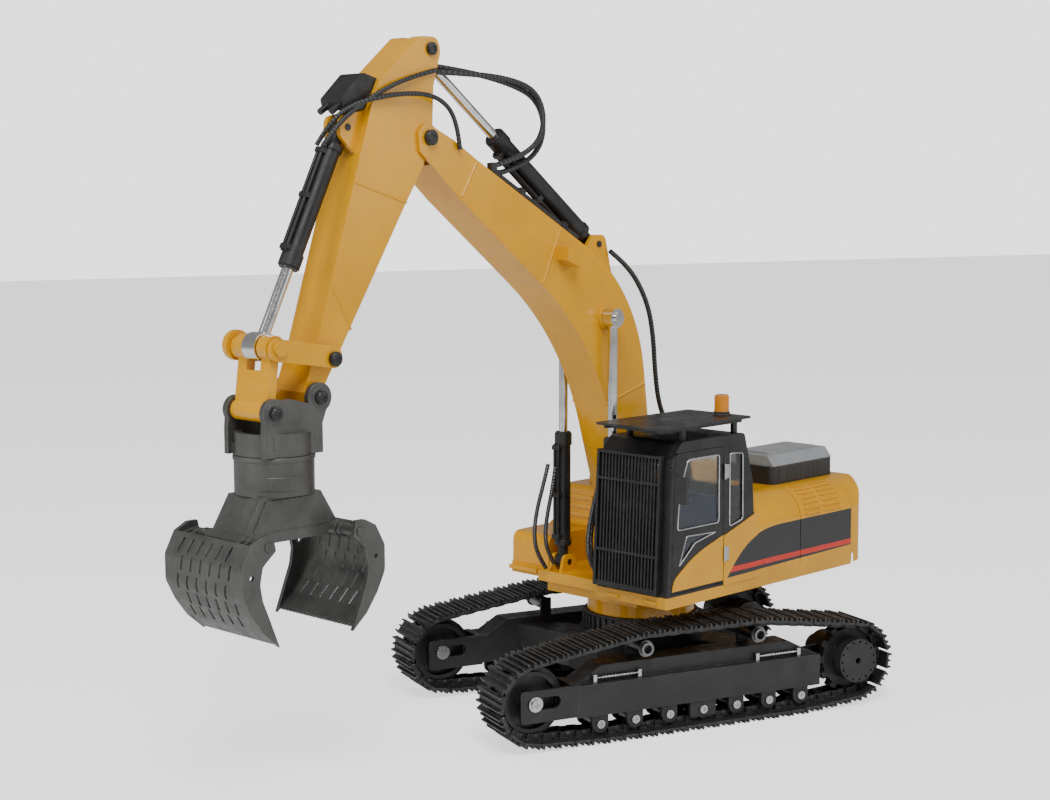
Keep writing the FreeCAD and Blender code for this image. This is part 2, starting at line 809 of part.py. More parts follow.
def shoulder(side, inner):
    """Half section of the engine cover, in Y and Z: wall, rounded shoulder and top."""
    wall, top, radius = s.deck_half, s.body_top, s.shoulder_radius
    skin = s.panel_wall
    outline = [(wall, s.deck_high), (wall, top, radius), (inner, top), (inner, top - skin),
               (wall - skin, top - skin, radius - skin), (wall - skin, s.deck_high)]
    return [(y * side,) + tuple(rest) for y, *rest in outline]


def louvre_ribs(side, first, length):
    """Raised ribs that follow the rounded shoulder."""
    centre_y = s.deck_half - s.shoulder_radius
    centre_z = s.body_top - s.shoulder_radius
    ribs = []
    for i in range(7):
        angle = 8 + 10 * i
        rib = block((first, first + length), (-0.6, 0.6), (-0.5, 0.8))
        turn = Rotation(Vector(1, 0, 0), -(90 - angle) * side)
        out = Vector(0, side * math.cos(math.radians(angle)), math.sin(math.radians(angle)))
        base = Vector(0, side * centre_y.value, centre_z.value) + out * s.shoulder_radius.value
        ribs.append(move(rib, Placement(base, turn).multiply(rib.Placement)))
    return ribs


def side_panels(label, side):
    """Two engine doors with a narrow gap between them, the rear one louvred."""
    section = shoulder(side, 30)
    front = plate("YZ", s.hood_split + 0.35, s.hood_front - 0.3, section)
    rear = plate("YZ", s.hood_rear + 0.3, s.hood_split - 0.35, section)
    ribs = louvre_ribs(side, s.hood_split - 23, 17) + louvre_ribs(side, s.hood_split - 47, 20)
    items = [front, fuse([rear] + ribs)]
    if side > 0:
        half = s.deck_half
        items.append(plate("XZ", half, half + s.door_skin, [
            (s.hood_front + 0.3, s.deck_high), (s.door_hinge - 0.3, s.deck_high),
            (s.door_hinge - 0.3, 122.5), (-8, 127.8), (s.hood_front + 0.3, 133.8)]))
    node(label, group(items))


def engine_hood():
    """The fixed middle of the engine cover, with the bulkhead behind the boom."""
    top = block((s.hood_rear + 0.3, s.hood_front), (-30, 30), (s.body_top - s.panel_wall, s.body_top))
    bulkhead = plate("YZ", s.hood_front, s.hood_front + 2, [
        (-s.deck_half + 1, s.deck_high), (s.cab_inner - 0.5, s.deck_high),
        (s.cab_inner - 0.5, s.body_top), (-s.deck_half + 1, s.body_top, 20)])
    node("engine_hood", fuse([top, bulkhead]))


def counterweight():
    """The rounded tail, the common part of its plan, its section and its side view."""
    half, top, low = s.deck_half, s.body_top, s.deck_low + 1
    plan = plate("XY", low, top, [
        (s.hood_rear, half), (s.hood_rear - 12, half, 9), (s.tail, 34, 40), (s.tail, -34, 40),
        (s.hood_rear - 12, -half, 9), (s.hood_rear, -half)])
    section = plate("YZ", s.tail - 1, s.hood_rear, [
        (half, low), (half, top, s.shoulder_radius), (-half, top, s.shoulder_radius), (-half, low)])
    profile = plate("XZ", -half, half, [
        (s.hood_rear, low), (s.hood_rear, top), (s.tail, top, 17), (s.tail, low + 2, 4)])
    common = document.addObject("Part::MultiCommon", "common")
    common.Shapes = [plan, section, profile]
    seat = plate("XY", s.deck_low - 1, s.deck_high, [
        (s.hood_rear + 1, half + 1), (s.hood_rear - 1, half + 1), (s.tail + 7, 63, 12),
        (s.tail + 7, -63, 12), (s.hood_rear - 1, -half - 1), (s.hood_rear + 1, -half - 1)])
    node("counterweight", cut(common, [seat]))


def air_filter():
    """Air filter housing on the engine cover: ribbed box, bevelled lid and a top plate."""
    x, y = (-143, -73), (12, 55)
    base = s.body_top
    box = plate("XY", base, base + 12.5, [
        (x[0], y[0], 3), (x[1], y[0], 3), (x[1], y[1], 5), (x[0], y[1], 3)])
    ribs = [block((x[0] + 8 + 2.4 * i, x[0] + 9.2 + 2.4 * i), (y[1] - 1, y[1] + 0.6),
                  (base + 1, base + 12)) for i in range(23)]
    lid = plate("YZ", x[0] + 0.5, x[1] - 2, [
        (y[0] + 1, base + 12.5), (y[1] - 0.5, base + 12.5), (y[1] - 6, base + 19.5),
        (y[0] + 5, base + 19.5)])
    cap = plate("XY", base + 19.5, base + 21, [
        (x[0] + 8, y[0] + 8, 3), (x[1] - 8, y[0] + 8, 3), (x[1] - 8, y[1] - 9, 3),
        (x[0] + 8, y[1] - 9, 3)])
    node("air_filter", fuse([box, lid, cap] + ribs))


def cab_outline(inset):
    """Side view of the cab, in X and Z."""
    rear, roof = s.cab_rear + inset, s.cab_roof - inset
    return [(s.deck_front - 0.7 - inset, s.deck_high), (60.8 - inset, 177, 5), (51.5, roof, 6),
            (-12 + inset / 3, roof, 3), (rear + 1.5, 156), (rear, 134), (rear, s.deck_high)]


def cab_shell():
    inner, outer = s.cab_inner, s.deck_half
    shell = plate("XZ", inner, outer, cab_outline(0))
    wall = s.cab_wall
    pocket(shell, "XZ", inner + wall, outer - wall, cab_outline(wall))
    pocket(shell, "XZ", outer - wall - 1, outer + 1, [
        (s.door_hinge, s.deck_high + 1.6), (61.6, s.deck_high + 1.6), (57.6, 181),
        (s.door_hinge, 181)])
    pocket(shell, "XZ", outer - wall - 1, outer + 1, [
        (-10.8, 131), (3, 127.8), (3, 175.7, 2), (-10.4, 174.6, 2)])
    pocket(shell, "XZ", inner - 1, inner + wall + 1, [
        (-10, 116, 3), (50, 116, 3), (46, 174, 3), (-8, 174, 3)])
    pocket(shell, "YZ", 40, s.deck_front + 2, [
        (inner + 6, 100, 3), (outer - 6, 100, 3), (outer - 8, 174, 3), (inner + 8, 174, 3)])
    pocket(shell, "YZ", s.cab_rear - 1, s.cab_rear + 12, [
        (inner + 8, 150, 3), (outer - 10, 150, 3), (outer - 10, 176, 3), (inner + 8, 176, 3)])
    node("cab_shell", shell)


def door_outline(gap):
    return [(s.door_hinge + gap, s.deck_high + 1.6 + gap), (61.6 - gap, s.deck_high + 1.6 + gap),
            (57.6 - gap, 181 - gap, 3), (s.door_hinge + gap, 181 - gap)]


DOOR_WINDOW = [(14, 131.9, 1.5), (55.6, 132, 1.5), (53.4, 157), (45.3, 176, 4), (14, 176, 1.5)]
FRONT_WINDOW = [(53.9, 108.9, 1), (46.5, 127.1, 1), (16.8, 126.2, 1), (38.1, 121.9, 4)]
QUARTER_WINDOW = [(-10.8, 131, 1), (3, 127.8, 1), (3, 175.7, 2), (-10.4, 174.6, 2)]


def cab_door():
    """Hinged door: window frame, two panes, the lower skin, and its hinge leaves and mirror."""
    outer = s.deck_half
    low = outer - s.cab_wall
    frame = plate("XZ", low, outer, door_outline(0.4))
    for window in (DOOR_WINDOW, FRONT_WINDOW):
        pocket(frame, "XZ", low - 1, outer + 1, window)
    pocket(frame, "XZ", low - 1, low + 0.9, [
        (17, 97, 3), (56, 97, 3), (54, 104, 3), (17, 116, 3)])
    node("cab_door", frame)
    panes = [plate("XZ", low + 0.7, low + 1.7, window) for window in (DOOR_WINDOW, FRONT_WINDOW)]
    node("door_glass", group(panes))
    skin = plate("XZ", outer, outer + s.door_skin, [
        (s.door_hinge + 0.6, s.deck_high + 3.5), (61, s.deck_high + 3.5), (59, 101, 12),
        (38, 114.5, 90), (s.door_hinge + 0.6, 123)])
    node("door_skin", skin)


def cab_fittings():
    """Hinges, mirror with its arm, and the seat."""
    outer = s.deck_half
    hinges = []
    for z, seat in ((110.9, s.door_skin), (164.5, 0.0)):
        barrel = rod(0.8, (s.door_hinge, outer + 1.4, z - 5), 10, "Z")
        leaf = block((s.door_hinge - 4.2, s.door_hinge), (outer + seat, outer + 1.4), (z - 4.5, z + 4.5))
        hinges.append(fuse([barrel, leaf]))
    edge = number(outer)
    arm = tilted_rod(0.8, (61.9, edge - 1.8, 172), (63.2, edge + 9, 166.5))
    head = plate("YZ", 62.2, 64.4, [
        (outer + 6, 151, 1.5), (outer + 14.5, 151, 1.5), (outer + 14.5, 168, 1.5), (outer + 6, 168, 1.5)])
    node("cab_trim", group(hinges + [fuse([arm, head])]))
    base = block((4, 34), (34, 62), (s.deck_high, 104))
    cushion = plate("XZ", 33, 63, [(2, 104), (36, 104), (38, 110, 4), (2, 112, 4)])
    back = plate("XZ", 34, 62, [(-2, 108), (7, 108), (4, 146, 3.2), (-5, 146, 3.2)])
    node("operator_seat", fuse([base, cushion, back]))


def cab_glass():
    """Fixed panes: quarter window, right side, windscreen and rear window."""
    inner, outer, wall = s.cab_inner, s.deck_half, s.cab_wall
    quarter = plate("XZ", outer - wall + 0.7, outer - 0.7, QUARTER_WINDOW)
    side = plate("XZ", inner + 0.7, inner + 1.7, [
        (-10, 116, 3), (50, 116, 3), (46, 174, 3), (-8, 174, 3)])
    front = plate("YZ", 57.1, 58.1, [
        (inner + 3, 96), (outer - 3, 96), (outer - 3, 172), (inner + 3, 172)])
    node("cab_glass", group([quarter, side, front]))


def front_guard():
    """Stone guard over the windscreen: bars and rails that lean back with the cab front."""
    inner, outer = s.cab_inner, s.deck_half - 6
    tall = 88
    rails = [block((0, 2.4), (inner, outer), (z, z + 1.6)) for z in (0, 23, 69, tall - 2)]
    rails.append(block((0, 2.0), (inner, outer), (0, 3.2)))
    posts = [block((-1.5, 2.4), (y, y + 2), (0, tall)) for y in (inner, outer - 2)]
    count = 17
    pitch = (outer - inner - 4) / (count + 1)
    bars = [block((0.3, 2.0), (inner + 2 + pitch * i - 0.6, inner + 2 + pitch * i + 0.6), (1, tall - 1))
            for i in range(1, count + 1)]
    guard = fuse(rails + posts + bars)
    lean = Rotation(Vector(0, 1, 0), -3.0)
    guard.Placement = Placement(Vector((s.deck_front + 1.2).value, 0, (s.deck_high + 1.5).value), lean)
    node("front_guard", guard)


def roof_guard():
    """Falling-object guard: a thin perforated sheet on four brackets and two rails."""
    inner, outer = 24, s.deck_half
    low = s.guard_low
    sheet = plate("XY", low, low + s.guard_sheet, [
        (-19.5, inner, 2), (72.9, inner, 2), (72.9, outer, 2), (-19.5, outer, 2)])
    rails = [block((-15, 68), (y, y + 2.5), (low - 2.6, low)) for y in (inner + 3, outer - 7)]
    ties = [block((x, x + 2.5), (inner + 3, outer - 4.5), (low - 2.6, low)) for x in (-12, 62)]
    legs = []
    for x in (-10, 42):
        for y in (inner + 3, outer - 7):
            legs.append(block((x, x + 4), (y, y + 2.5), (s.cab_roof, low - 2)))
    node("roof_guard", fuse([sheet] + rails + ties + legs))


def beacon():
    top = s.guard_low + s.guard_sheet
    place = (-12, 59)
    base = rod(5.3, (*place, top), 2.2, "Z")
    foot = rod(6.0, (*place, top), 0.7, "Z")
    lens = plate("XY", top + 2.2, top + 12.4, [], [(*place, 4.8)])
    cap = plate("XY", top + 12.4, top + 13.2, [], [(*place, 4.1)])
    node("beacon", group([fuse([base, foot]), fuse([lens, cap])]))


def right_side():
    """Tool box and ribbed tank in front of the engine cover, right of the boom."""
    box = plate("XZ", -s.deck_half, -44, [
        (9, s.deck_high), (45, s.deck_high), (44.5, 111, 6), (9, 111.5)])
    lid_lines = [block((8, 46), (-s.deck_half - 1, -s.deck_half + 0.4), (z, z + 0.6)) for z in (96, 106)]
    node("tool_box", cut(box, lid_lines))
    top = s.body_top - 1
    tank = plate("XZ", -62, -34, [
        (s.hood_front + 2.3, s.deck_high), (8.7, s.deck_high), (8.7, top, 3), (s.hood_front + 2.3, top)])
    ribs = [block((8.6, 9.9), (-60, -36), (z, z + 3)) for z in (114, 120, 126, 132)]
    cap = rod(3.6, (-8, -50, top), 4.5, "Z")
    wing = plate("XZ", -s.deck_half, -62, [
        (s.hood_front + 2.3, s.deck_high), (8.7, s.deck_high), (8.7, 112, 3), (s.hood_front + 2.3, 124)])
    node("fuel_tank", fuse([tank, cap, wing] + ribs))


# ---------------------------------------------------------------- boom and stick

BOOM_UPPER = [(176.6, 374.7), (156.8, 362.8), (10.6, 280.7, 109)]
BOOM_LOWER = [(52.7, 248.3, 188), (103, 287), (170.9, 339.3)]


def boom_outline():
    """Side view of the boom, a gooseneck between its foot and the stick pivot."""
    x, z = s.stick_pivot_x, s.stick_pivot_z
    foot_x, foot_z = s.boom_foot_x, s.boom_foot_z
    return BOOM_UPPER + [(foot_x - 11, foot_z), (foot_x - 7, foot_z - 8), (foot_x + 7, foot_z - 8),
                         (foot_x + 11, foot_z)] + BOOM_LOWER + [(x + 8, z - 8), (x + 9, z + 3, 5),
                                                                (x + 3, z + 9, 5)]


def weld_bead(first, last, half):
    """A low bead across both side faces between two points of the outline."""
    beads = []
    for side in (1, -1):
        y = number(s.boom_offset) + side * (number(half) - 0.1)
        beads.append(tilted_rod(0.7, (first[0], y, first[1]), (last[0], y, last[1])))
    return beads


def boom():
    half = BOOM_HALF
    x, z = s.stick_pivot_x, s.stick_pivot_z
    body = lug(-half, half, boom_outline(), [(s.boom_foot_x, s.boom_foot_z, s.pivot_radius + s.running_gap),
                                              (x, z, s.pivot_radius)])
    slot_half = s.stick_half + s.body_gap
    slot = block((x - 13, x + 14), (at(-slot_half), at(slot_half)), (z - 16, z + 16))
    ears = pair(4.4, 7.4, [
        (s.crowd_foot_x - 14, s.crowd_foot_z - 26), (s.crowd_foot_x + 16, s.crowd_foot_z - 8),
        (s.crowd_foot_x + 6, s.crowd_foot_z + 6, 5), (s.crowd_foot_x - 6, s.crowd_foot_z + 6, 5)],
        [(s.crowd_foot_x, s.crowd_foot_z, 2.0 + s.running_gap)])
    bosses = []
    for low in (half, -half - 2.6):
        bosses.append(across(7.5, s.eye_x, s.eye_z, low, low + 2.6))
    beads = weld_bead((157.5, 361.5), (170.3, 341), half) + weld_bead((84, 321), (100.5, 286.5), half)
    beads += weld_bead((2.8, 216), (41, 205), half)
    node("boom", fuse([cut(body, [slot])] + ears + bosses + beads))


def boom_pins():
    """Stick pivot bolt and crowd-cylinder foot pin."""
    half = BOOM_HALF
    bolt = [across(s.pivot_radius, s.stick_pivot_x, s.stick_pivot_z, -half, half)]
    for low in (half, -half - 2.4):
        bolt.append(across(4.6, s.stick_pivot_x, s.stick_pivot_z, low, low + 2.4))
    foot = across(2.0, s.crowd_foot_x, s.crowd_foot_z, -8.2, 8.2)
    node("boom_pins", group([fuse(bolt), foot]))


def boom_fittings():
    """Work lamps on the boom sides, and the two steel lines clamped along its top."""
    lamps = []
    for side in (1, -1):
        ends = (BOOM_HALF, BOOM_HALF + 9) if side > 0 else (-BOOM_HALF - 9, -BOOM_HALF)
        lamps.append(lug(*ends, [(76, 296), (88, 301), (86, 310, 1), (74, 305, 1)]))
    low, high = s.boom_offset.value + 12.2, s.boom_offset.value + 8.7
    lines = [tilted_rod(1.7, (66, low, 314.3), (140, low, 355.8)),
             tilted_rod(1.7, (66, high, 314.3), (132, high, 351.4))]
    clamps = [lug(6.4, 14.4, [(x, z), (x + 4, z + 2.3), (x + 2.2, z + 6.6), (x - 1.8, z + 4.3)])
              for x, z in ((78, 318.6), (116, 339.9))]
    for wide, x, z in ((10.4, 140, 359.6), (6.4, 132, 355.2)):
        clamps.append(lug(wide, wide + 4, [
            (x - 1.0, z - 6.0), (x + 4.5, z - 3.0), (x + 4.5, z + 1.8), (x + 0.5, z + 2.14),
            (x - 0.5, z - 2.14)]))
    node("boom_fittings", group(lamps + [fuse(lines + clamps)]))


def stick_outline():
    """Side view of the stick, from its top pin to the tip."""
    top_x, top_z = s.stick_top_x, s.stick_top_z
    return [(top_x - 7.5, top_z - 2, 4), (190.6, 406), (191.6, 384), (199, 359.7), (214.5, 335.8),
            (s.tip_x - 8, s.tip_z + 6), (s.tip_x - 6, s.tip_z - 5), (s.tip_x + 6, s.tip_z - 5),
            (s.tip_x + 7, s.tip_z + 3), (281.5, 259.4), (237.7, 396.4), (232.1, 407.6, 6),
            (top_x + 8, top_z + 7, 5), (top_x - 6, top_z + 7, 6)]


def stick():
    half = s.stick_half
    body = lug(-half, half, stick_outline(), [
        (s.tip_x, s.tip_z, s.bolt_radius + s.running_gap), (s.rocker_x, s.rocker_z, s.bolt_radius)])
    boss = across(8.3, s.stick_pivot_x, s.stick_pivot_z, -half, half)
    bore = across(s.pivot_radius + s.running_gap, s.stick_pivot_x, s.stick_pivot_z, -half - 1, half + 1)
    top_slot = block((s.stick_top_x - 14, s.stick_top_x + 9.5), (at(-4.8), at(4.8)),
                     (s.stick_top_z - 22, s.stick_top_z + 14))
    top_pin = across(2.0, s.stick_top_x, s.stick_top_z, -half - 1, half + 1)
    ears = pair(4.5, 7.5, [
        (238, 391.2), (247, 366), (s.curl_foot_x + 6, s.curl_foot_z - 5, 5),
        (s.curl_foot_x + 5, s.curl_foot_z + 6, 5)], [(s.curl_foot_x, s.curl_foot_z, 2.0)])
    tip_bosses = [across(7, s.tip_x, s.tip_z, low, low + s.tip_boss)
                  for low in (half, -half - s.tip_boss)]
    tip_bore = across(s.bolt_radius + s.running_gap, s.tip_x, s.tip_z, -half - 2, half + 2)
    rocker_bosses = [across(5.5, s.rocker_x, s.rocker_z, low, low + 1.6) for low in (half, -half - 1.6)]
    rocker_bore = across(s.bolt_radius, s.rocker_x, s.rocker_z, -half - 2, half + 2)
    beads = weld_bead((270, 292), (256.5, 266.5), half) + weld_bead((252, 350), (213, 338), half)
    whole = fuse([body, boss] + ears + tip_bosses + rocker_bosses + beads)
    node("stick", cut(whole, [bore, top_slot, top_pin, tip_bore, rocker_bore]))


def stick_fittings():
    """Valve housing on the upper front of the stick, and the pins that the stick carries."""
    half = s.stick_half
    housing = lug(-9.5, 9.5, [
        (231.5, 409), (242, 412, 3), (258, 397, 2), (256, 390.5, 2), (242, 391), (237.9, 396.6)])
    ports = [tilted_rod(2.0, (256, at(w).value, 393.5), (262, at(w).value, 389.5)) for w in (-5, 5)]
    node("valve_housing", fuse([housing] + ports))
    rocker_bolt = [across(s.bolt_radius, s.rocker_x, s.rocker_z, -half - 5.5, half + 5.5)]
    for low in (half + 5.4, -half - 7.6):
        rocker_bolt.append(across(4.2, s.rocker_x, s.rocker_z, low, low + 2.2))
    top = [across(2.0, s.stick_top_x, s.stick_top_z, -half, half)]
    for low in (half, -half - 1.8):
        top.append(across(3.8, s.stick_top_x, s.stick_top_z, low, low + 1.8))
    foot = across(2.0, s.curl_foot_x, s.curl_foot_z, -8, 8)
    node("stick_pins", group([fuse(rocker_bolt), fuse(top), foot]))


# ---------------------------------------------------------------- cylinders

def cylinder_frame(foot, head, wide):
    """Frame of one cylinder: origin at its foot eye and +Z towards its rod eye."""
    run = Vector(number(head[0] - foot[0]), 0, number(head[1] - foot[1]))
    base = Vector(number(foot[0]), number(at(wide)), number(foot[1]))
    return Placement(base, Rotation(Vector(0, 0, 1), run)), run.Length


def cylinder(name, frame, sizes, front=1):
    """Barrel and rod of one hydraulic cylinder; sizes are in the cylinder's own frame."""
    length, barrel, tube, stem, eye, eye_half, rest = sizes
    start = eye + 6
    parts = [rod(tube, (0, 0, start), barrel - start, "Z"),
             rod(tube + 0.8, (0, 0, barrel - 9), 8, "Z"),
             rod(tube + 0.8, (0, 0, start + 1), 3, "Z"),
             rod(eye_half - 0.2, (0, 0, 0), start + 1, "Z"),
             rod(eye, (0, -eye_half, 0), eye_half * 2)]
    pipe_x = tube + 1.5
    clamp = start + 5.2
    parts += [rod(1.1, (pipe_x * front, y, clamp + 0.3), barrel - clamp - 8.3, "Z") for y in (-1.6, 1.6)]
    for z in (clamp, barrel * 0.5, barrel - 12):
        reach = sorted(((tube - 1.5) * front, (pipe_x + 1.3) * front))
        parts.append(block(reach, (-3.2, 3.2), (z, z + 3)))
    bores = [rod(stem + 0.05, (0, 0, rest - 28), barrel - rest + 30, "Z"),
             rod(2.05, (0, -eye_half - 1, 0), eye_half * 2 + 2)]
    node(name + "_barrel", move(cut(fuse(parts), bores), frame), UPPER)
    head = [rod(stem, (0, 0, rest), length - rest - eye + 1, "Z"),
            rod(eye, (0, -eye_half, length), eye_half * 2)]
    return head, frame


def cylinders():
    """Two lift cylinders, the crowd cylinder and the curl cylinder."""
    foot = (s.lift_foot_x, s.lift_foot_z)
    eye = (s.eye_x, s.eye_z)
    for name, side in (("lift_left", 1), ("lift_right", -1)):
        frame, length = cylinder_frame(foot, eye, s.lift_spread * side)
        head, frame = cylinder(name, frame, (length, 88, 5.0, 3.0, 4.6, 3.6, 42))
        cap = rod(6.2, (0, -4.0, length), 8.0)
        tip = rod(3.6, (0, 4.0 * side - 1.5, length), 3.0)
        node(name + "_rod", move(fuse(head + [cap, tip]), frame), UPPER)
    frame, length = cylinder_frame((s.crowd_foot_x, s.crowd_foot_z), (s.stick_top_x, s.stick_top_z), 0)
    head, frame = cylinder("crowd", frame, (length, 112, 6.0, 3.2, 5.2, 4.2, 62))
    hole = rod(4.0, (0, -6, length), 12)
    node("crowd_rod", move(cut(fuse(head), [hole]), frame), UPPER)
    frame, length = cylinder_frame((s.curl_foot_x, s.curl_foot_z), (s.cross_x, s.cross_z), 0)
    head, frame = cylinder("curl", frame, (length, 88, 5.6, 3.4, 5.0, 4.2, 48), front=-1)
    collar = rod(8.2, (0, -5.6, length), 11.2)
    hole = rod(6.0, (0, -7, length), 14)
    node("curl_rod", move(cut(fuse(head + [collar]), [hole]), frame), UPPER)


# ---------------------------------------------------------------- linkage and grapple

def rocker():
    """Two rocker plates joined by the cross tube, with its bolt head and its far flange."""
    inner = s.stick_half + 1.8
    plates = []
    outline = [(s.rocker_x - 6, s.rocker_z - 6.3, 5.5), (s.cross_x + 6, s.cross_z - 6.3, 5.5),
               (s.cross_x + 6, s.cross_z + 6.3, 5.5), (s.rocker_x - 6, s.rocker_z + 6.3, 5.5)]
    for low in (inner, -inner - 3.2):
        side_plate = lug(low, low + 3.2, outline)
        hole = across(s.bolt_radius + s.running_gap, s.rocker_x, s.rocker_z, low - 1, low + 5)
        plates.append(cut(side_plate, [hole]))
    tube = across(4.6, s.cross_x, s.cross_z, -inner - 5, inner + 1)
    flange = across(8.6, s.cross_x, s.cross_z, -inner - 8, -inner - 4.4)
    head = across(4.2, s.cross_x, s.cross_z, inner + 3.2, inner + 5.4)
    node("rocker_links", fuse(plates + [tube, flange, head]))


def hanger():
    """The broad link between the cross tube and the grapple head."""
    run = Vector((s.hanger_x - s.cross_x).value, 0, (s.hanger_z - s.cross_z).value)
    half = LINK_HALF
    length = run.Length
    face = block((-3.0, 3.0), (-half, half), (-length + 4, -4))
    top = rod(7.0, (0, -half, 0), half * 2)
    low = rod(5.8, (0, -half, -length), half * 2)
    notch = block((-9, 9), (-6.3, 6.3), (-13, 9))
    bore = rod(4.6 + s.running_gap, (0, -half - 1, 0), half * 2 + 2)
    low_bore = rod(4.1, (0, -half - 1, -length), half * 2 + 2)
    link = cut(fuse([face, top, low]), [notch, bore, low_bore])
    turn = Rotation(Vector(0, 0, -1), run)
    base = Vector(s.cross_x.value, s.boom_offset.value, s.cross_z.value)
    node("hanger_link", move(link, Placement(base, turn)))


def grapple_head():
    """Eared head above the rotator, with its neck and king pin."""
    inner = LINK_HALF + 0.5
    outer = inner + 3.6
    cheeks = []
    for low in (inner, -outer):
        cheeks.append(lug(low, low + 3.6, [
            (s.grapple_x - 20.5, s.neck_low), (s.grapple_x + 20.5, s.neck_low),
            (s.grapple_x + 20.5, s.neck_high + 2), (s.hanger_x + 6, s.hanger_z + 4),
            (s.grapple_x + 3, s.tip_z + 1, 6), (s.tip_x - 5, s.tip_z - 6),
            (s.grapple_x - 20.5, s.neck_high + 4)]))
        for x, z, radius in ((s.hanger_x, s.hanger_z, 8.0), (s.tip_x, s.tip_z, 8.4)):
            cheeks.append(across(radius, x, z, low, low + 3.6))
            rim = low + 3.6 if number(low) > 0 else low - 0.6
            cheeks.append(across(5.6, x, z, rim, rim + 0.6))
    relief = lug(outer, outer + 0.5, [
        (295.5, 203.5), (317.5, 203.5), (317.5, 211), (295.5, 211)])
    neck = rod(s.neck_radius, (s.grapple_x, s.boom_offset, s.neck_low), s.neck_high - s.neck_low, "Z")
    king = rod(8.0, (s.grapple_x, s.boom_offset, s.neck_low - 15), 16, "Z")
    hollow = rod(s.neck_radius - 4, (s.grapple_x, s.boom_offset, s.neck_low + 6), 30, "Z")
    web = block((s.grapple_x - 19, s.grapple_x + 18), (at(-inner), at(inner)),
                (s.neck_low, s.neck_low + 6))
    node("grapple_head", fuse(cheeks + [relief, cut(neck, [hollow]), web, king]))
    bolts = []
    for x, z in ((s.hanger_x, s.hanger_z), (s.tip_x, s.tip_z)):
        parts = [across(s.bolt_radius, x, z, -inner, inner)]
        for low in (outer + 0.6, -outer - 2.6):
            parts.append(across(3.9, x, z, low, low + 2.0))
        bolts.append(fuse(parts))
    node("head_bolts", group(bolts))


def grapple_body():
    """Rotator collar and yoke in one casting, with the two jaw pivot tubes."""
    x, y = s.grapple_x, s.boom_offset
    gap = s.body_gap
    collar = rod(s.collar_radius, (x, y, s.collar_low), s.neck_low - gap - s.collar_low, "Z")
    rim = rod(s.collar_radius + 0.6, (x, y, s.neck_low - gap - 2.4), 2.0, "Z")
    bore = rod(8.0 + s.running_gap, (x, y, s.neck_low - 15.5), 20, "Z")
    yoke = lug(-s.yoke_half, s.yoke_half, [
        (x - 21, s.collar_low), (x + 21, s.collar_low), (x + 32.5, 158.5), (x + 24, 151.5),
        (x - 24, 151.5), (x - 32.5, 158.5)])
    face = lug(s.yoke_half, s.yoke_half + 0.8, [
        (x - 18, s.collar_low - 2), (x + 18, s.collar_low - 2), (x + 27, 158.5), (x - 27, 158.5)])
    parts = [collar, rim, yoke, face]
    reach = s.jaw_half - s.jaw_plate - 0.3
    for side in (1, -1):
        pivot = x + side * s.jaw_pivot_out
        parts.append(across(4.4, pivot, s.jaw_pivot_z, -s.yoke_half - 2, s.yoke_half + 2))
        parts.append(across(3.4, pivot, s.jaw_pivot_z, -reach, reach))
        parts.append(across(s.bolt_radius, pivot, s.jaw_pivot_z, -s.jaw_half - 0.6, s.jaw_half + 0.6))
        for low in (s.yoke_half + 5, -s.yoke_half - 6.2):
            parts.append(across(4.2, pivot, s.jaw_pivot_z, low, low + 1.2))
    band = block((x + 1, x + 20), (at(s.collar_radius * 0.2), at(s.collar_radius + 3)),
                 (s.collar_low + 4, s.collar_low + 11))
    wrap = rod(s.collar_radius + 0.8, (x, y, s.collar_low + 4), 7, "Z")
    clip = document.addObject("Part::Common", "clip")
    clip.Base = wrap
    clip.Tool = band
    node("grapple_body", cut(fuse(parts + [clip]), [bore]))


JAW_OUTER = [(-3.0, 6.6), (3.5, 6.6, 3), (11.5, 2.5), (18.1, -9.7, 5), (18.1, -24.7, 10), (11.9, -36.7),
             (4.1, -47.2)]
JAW_INNER = [(-6.4, -56.2), (0.1, -39.7), (4.6, -28.7, 6), (6.1, -19.7, 6), (4.1, -10.2, 4), (-5.0, -2.5)]


def jaw_points(side, points):
    """Points out from one jaw pivot, as places in the grapple's plane."""
    x = s.grapple_x + side * s.jaw_pivot_out
    z = s.jaw_pivot_z
    return [(x + side * p[0], z + p[1]) + tuple(p[2:]) for p in points]


def jaw_slots(side, half):
    """Staggered elongated slots through the curved shell."""
    rows = [((15.2, -3.5), 61), ((18.2, -13), 90), ((17.8, -24), 97), ((13.8, -34), 122), ((8.2, -42), 127)]
    tools = []
    x = (s.grapple_x + side * s.jaw_pivot_out).value
    z = s.jaw_pivot_z.value
    for row, ((out, drop), angle) in enumerate(rows):
        heading = math.radians(angle)
        along = Vector(math.cos(heading), 0, -math.sin(heading))
        lean = math.degrees(math.atan2(along.x, along.z)) * side
        for i in range(6):
            wide = -half + 9 + (2 * half - 18) * (i + (0.5 if row % 2 else 0)) / 5.5
            tool = block((-5, 5), (-0.95, 0.95), (-4.4, 4.4))
            base = Vector(x + side * out, s.boom_offset.value + wide, z + drop)
            turn = Rotation(Vector(0, 1, 0), lean)
            twist = Rotation(Vector(1, 0, 0), 12)
            tools.append(move(tool, Placement(base, turn.multiply(twist)).multiply(tool.Placement)))
    return tools


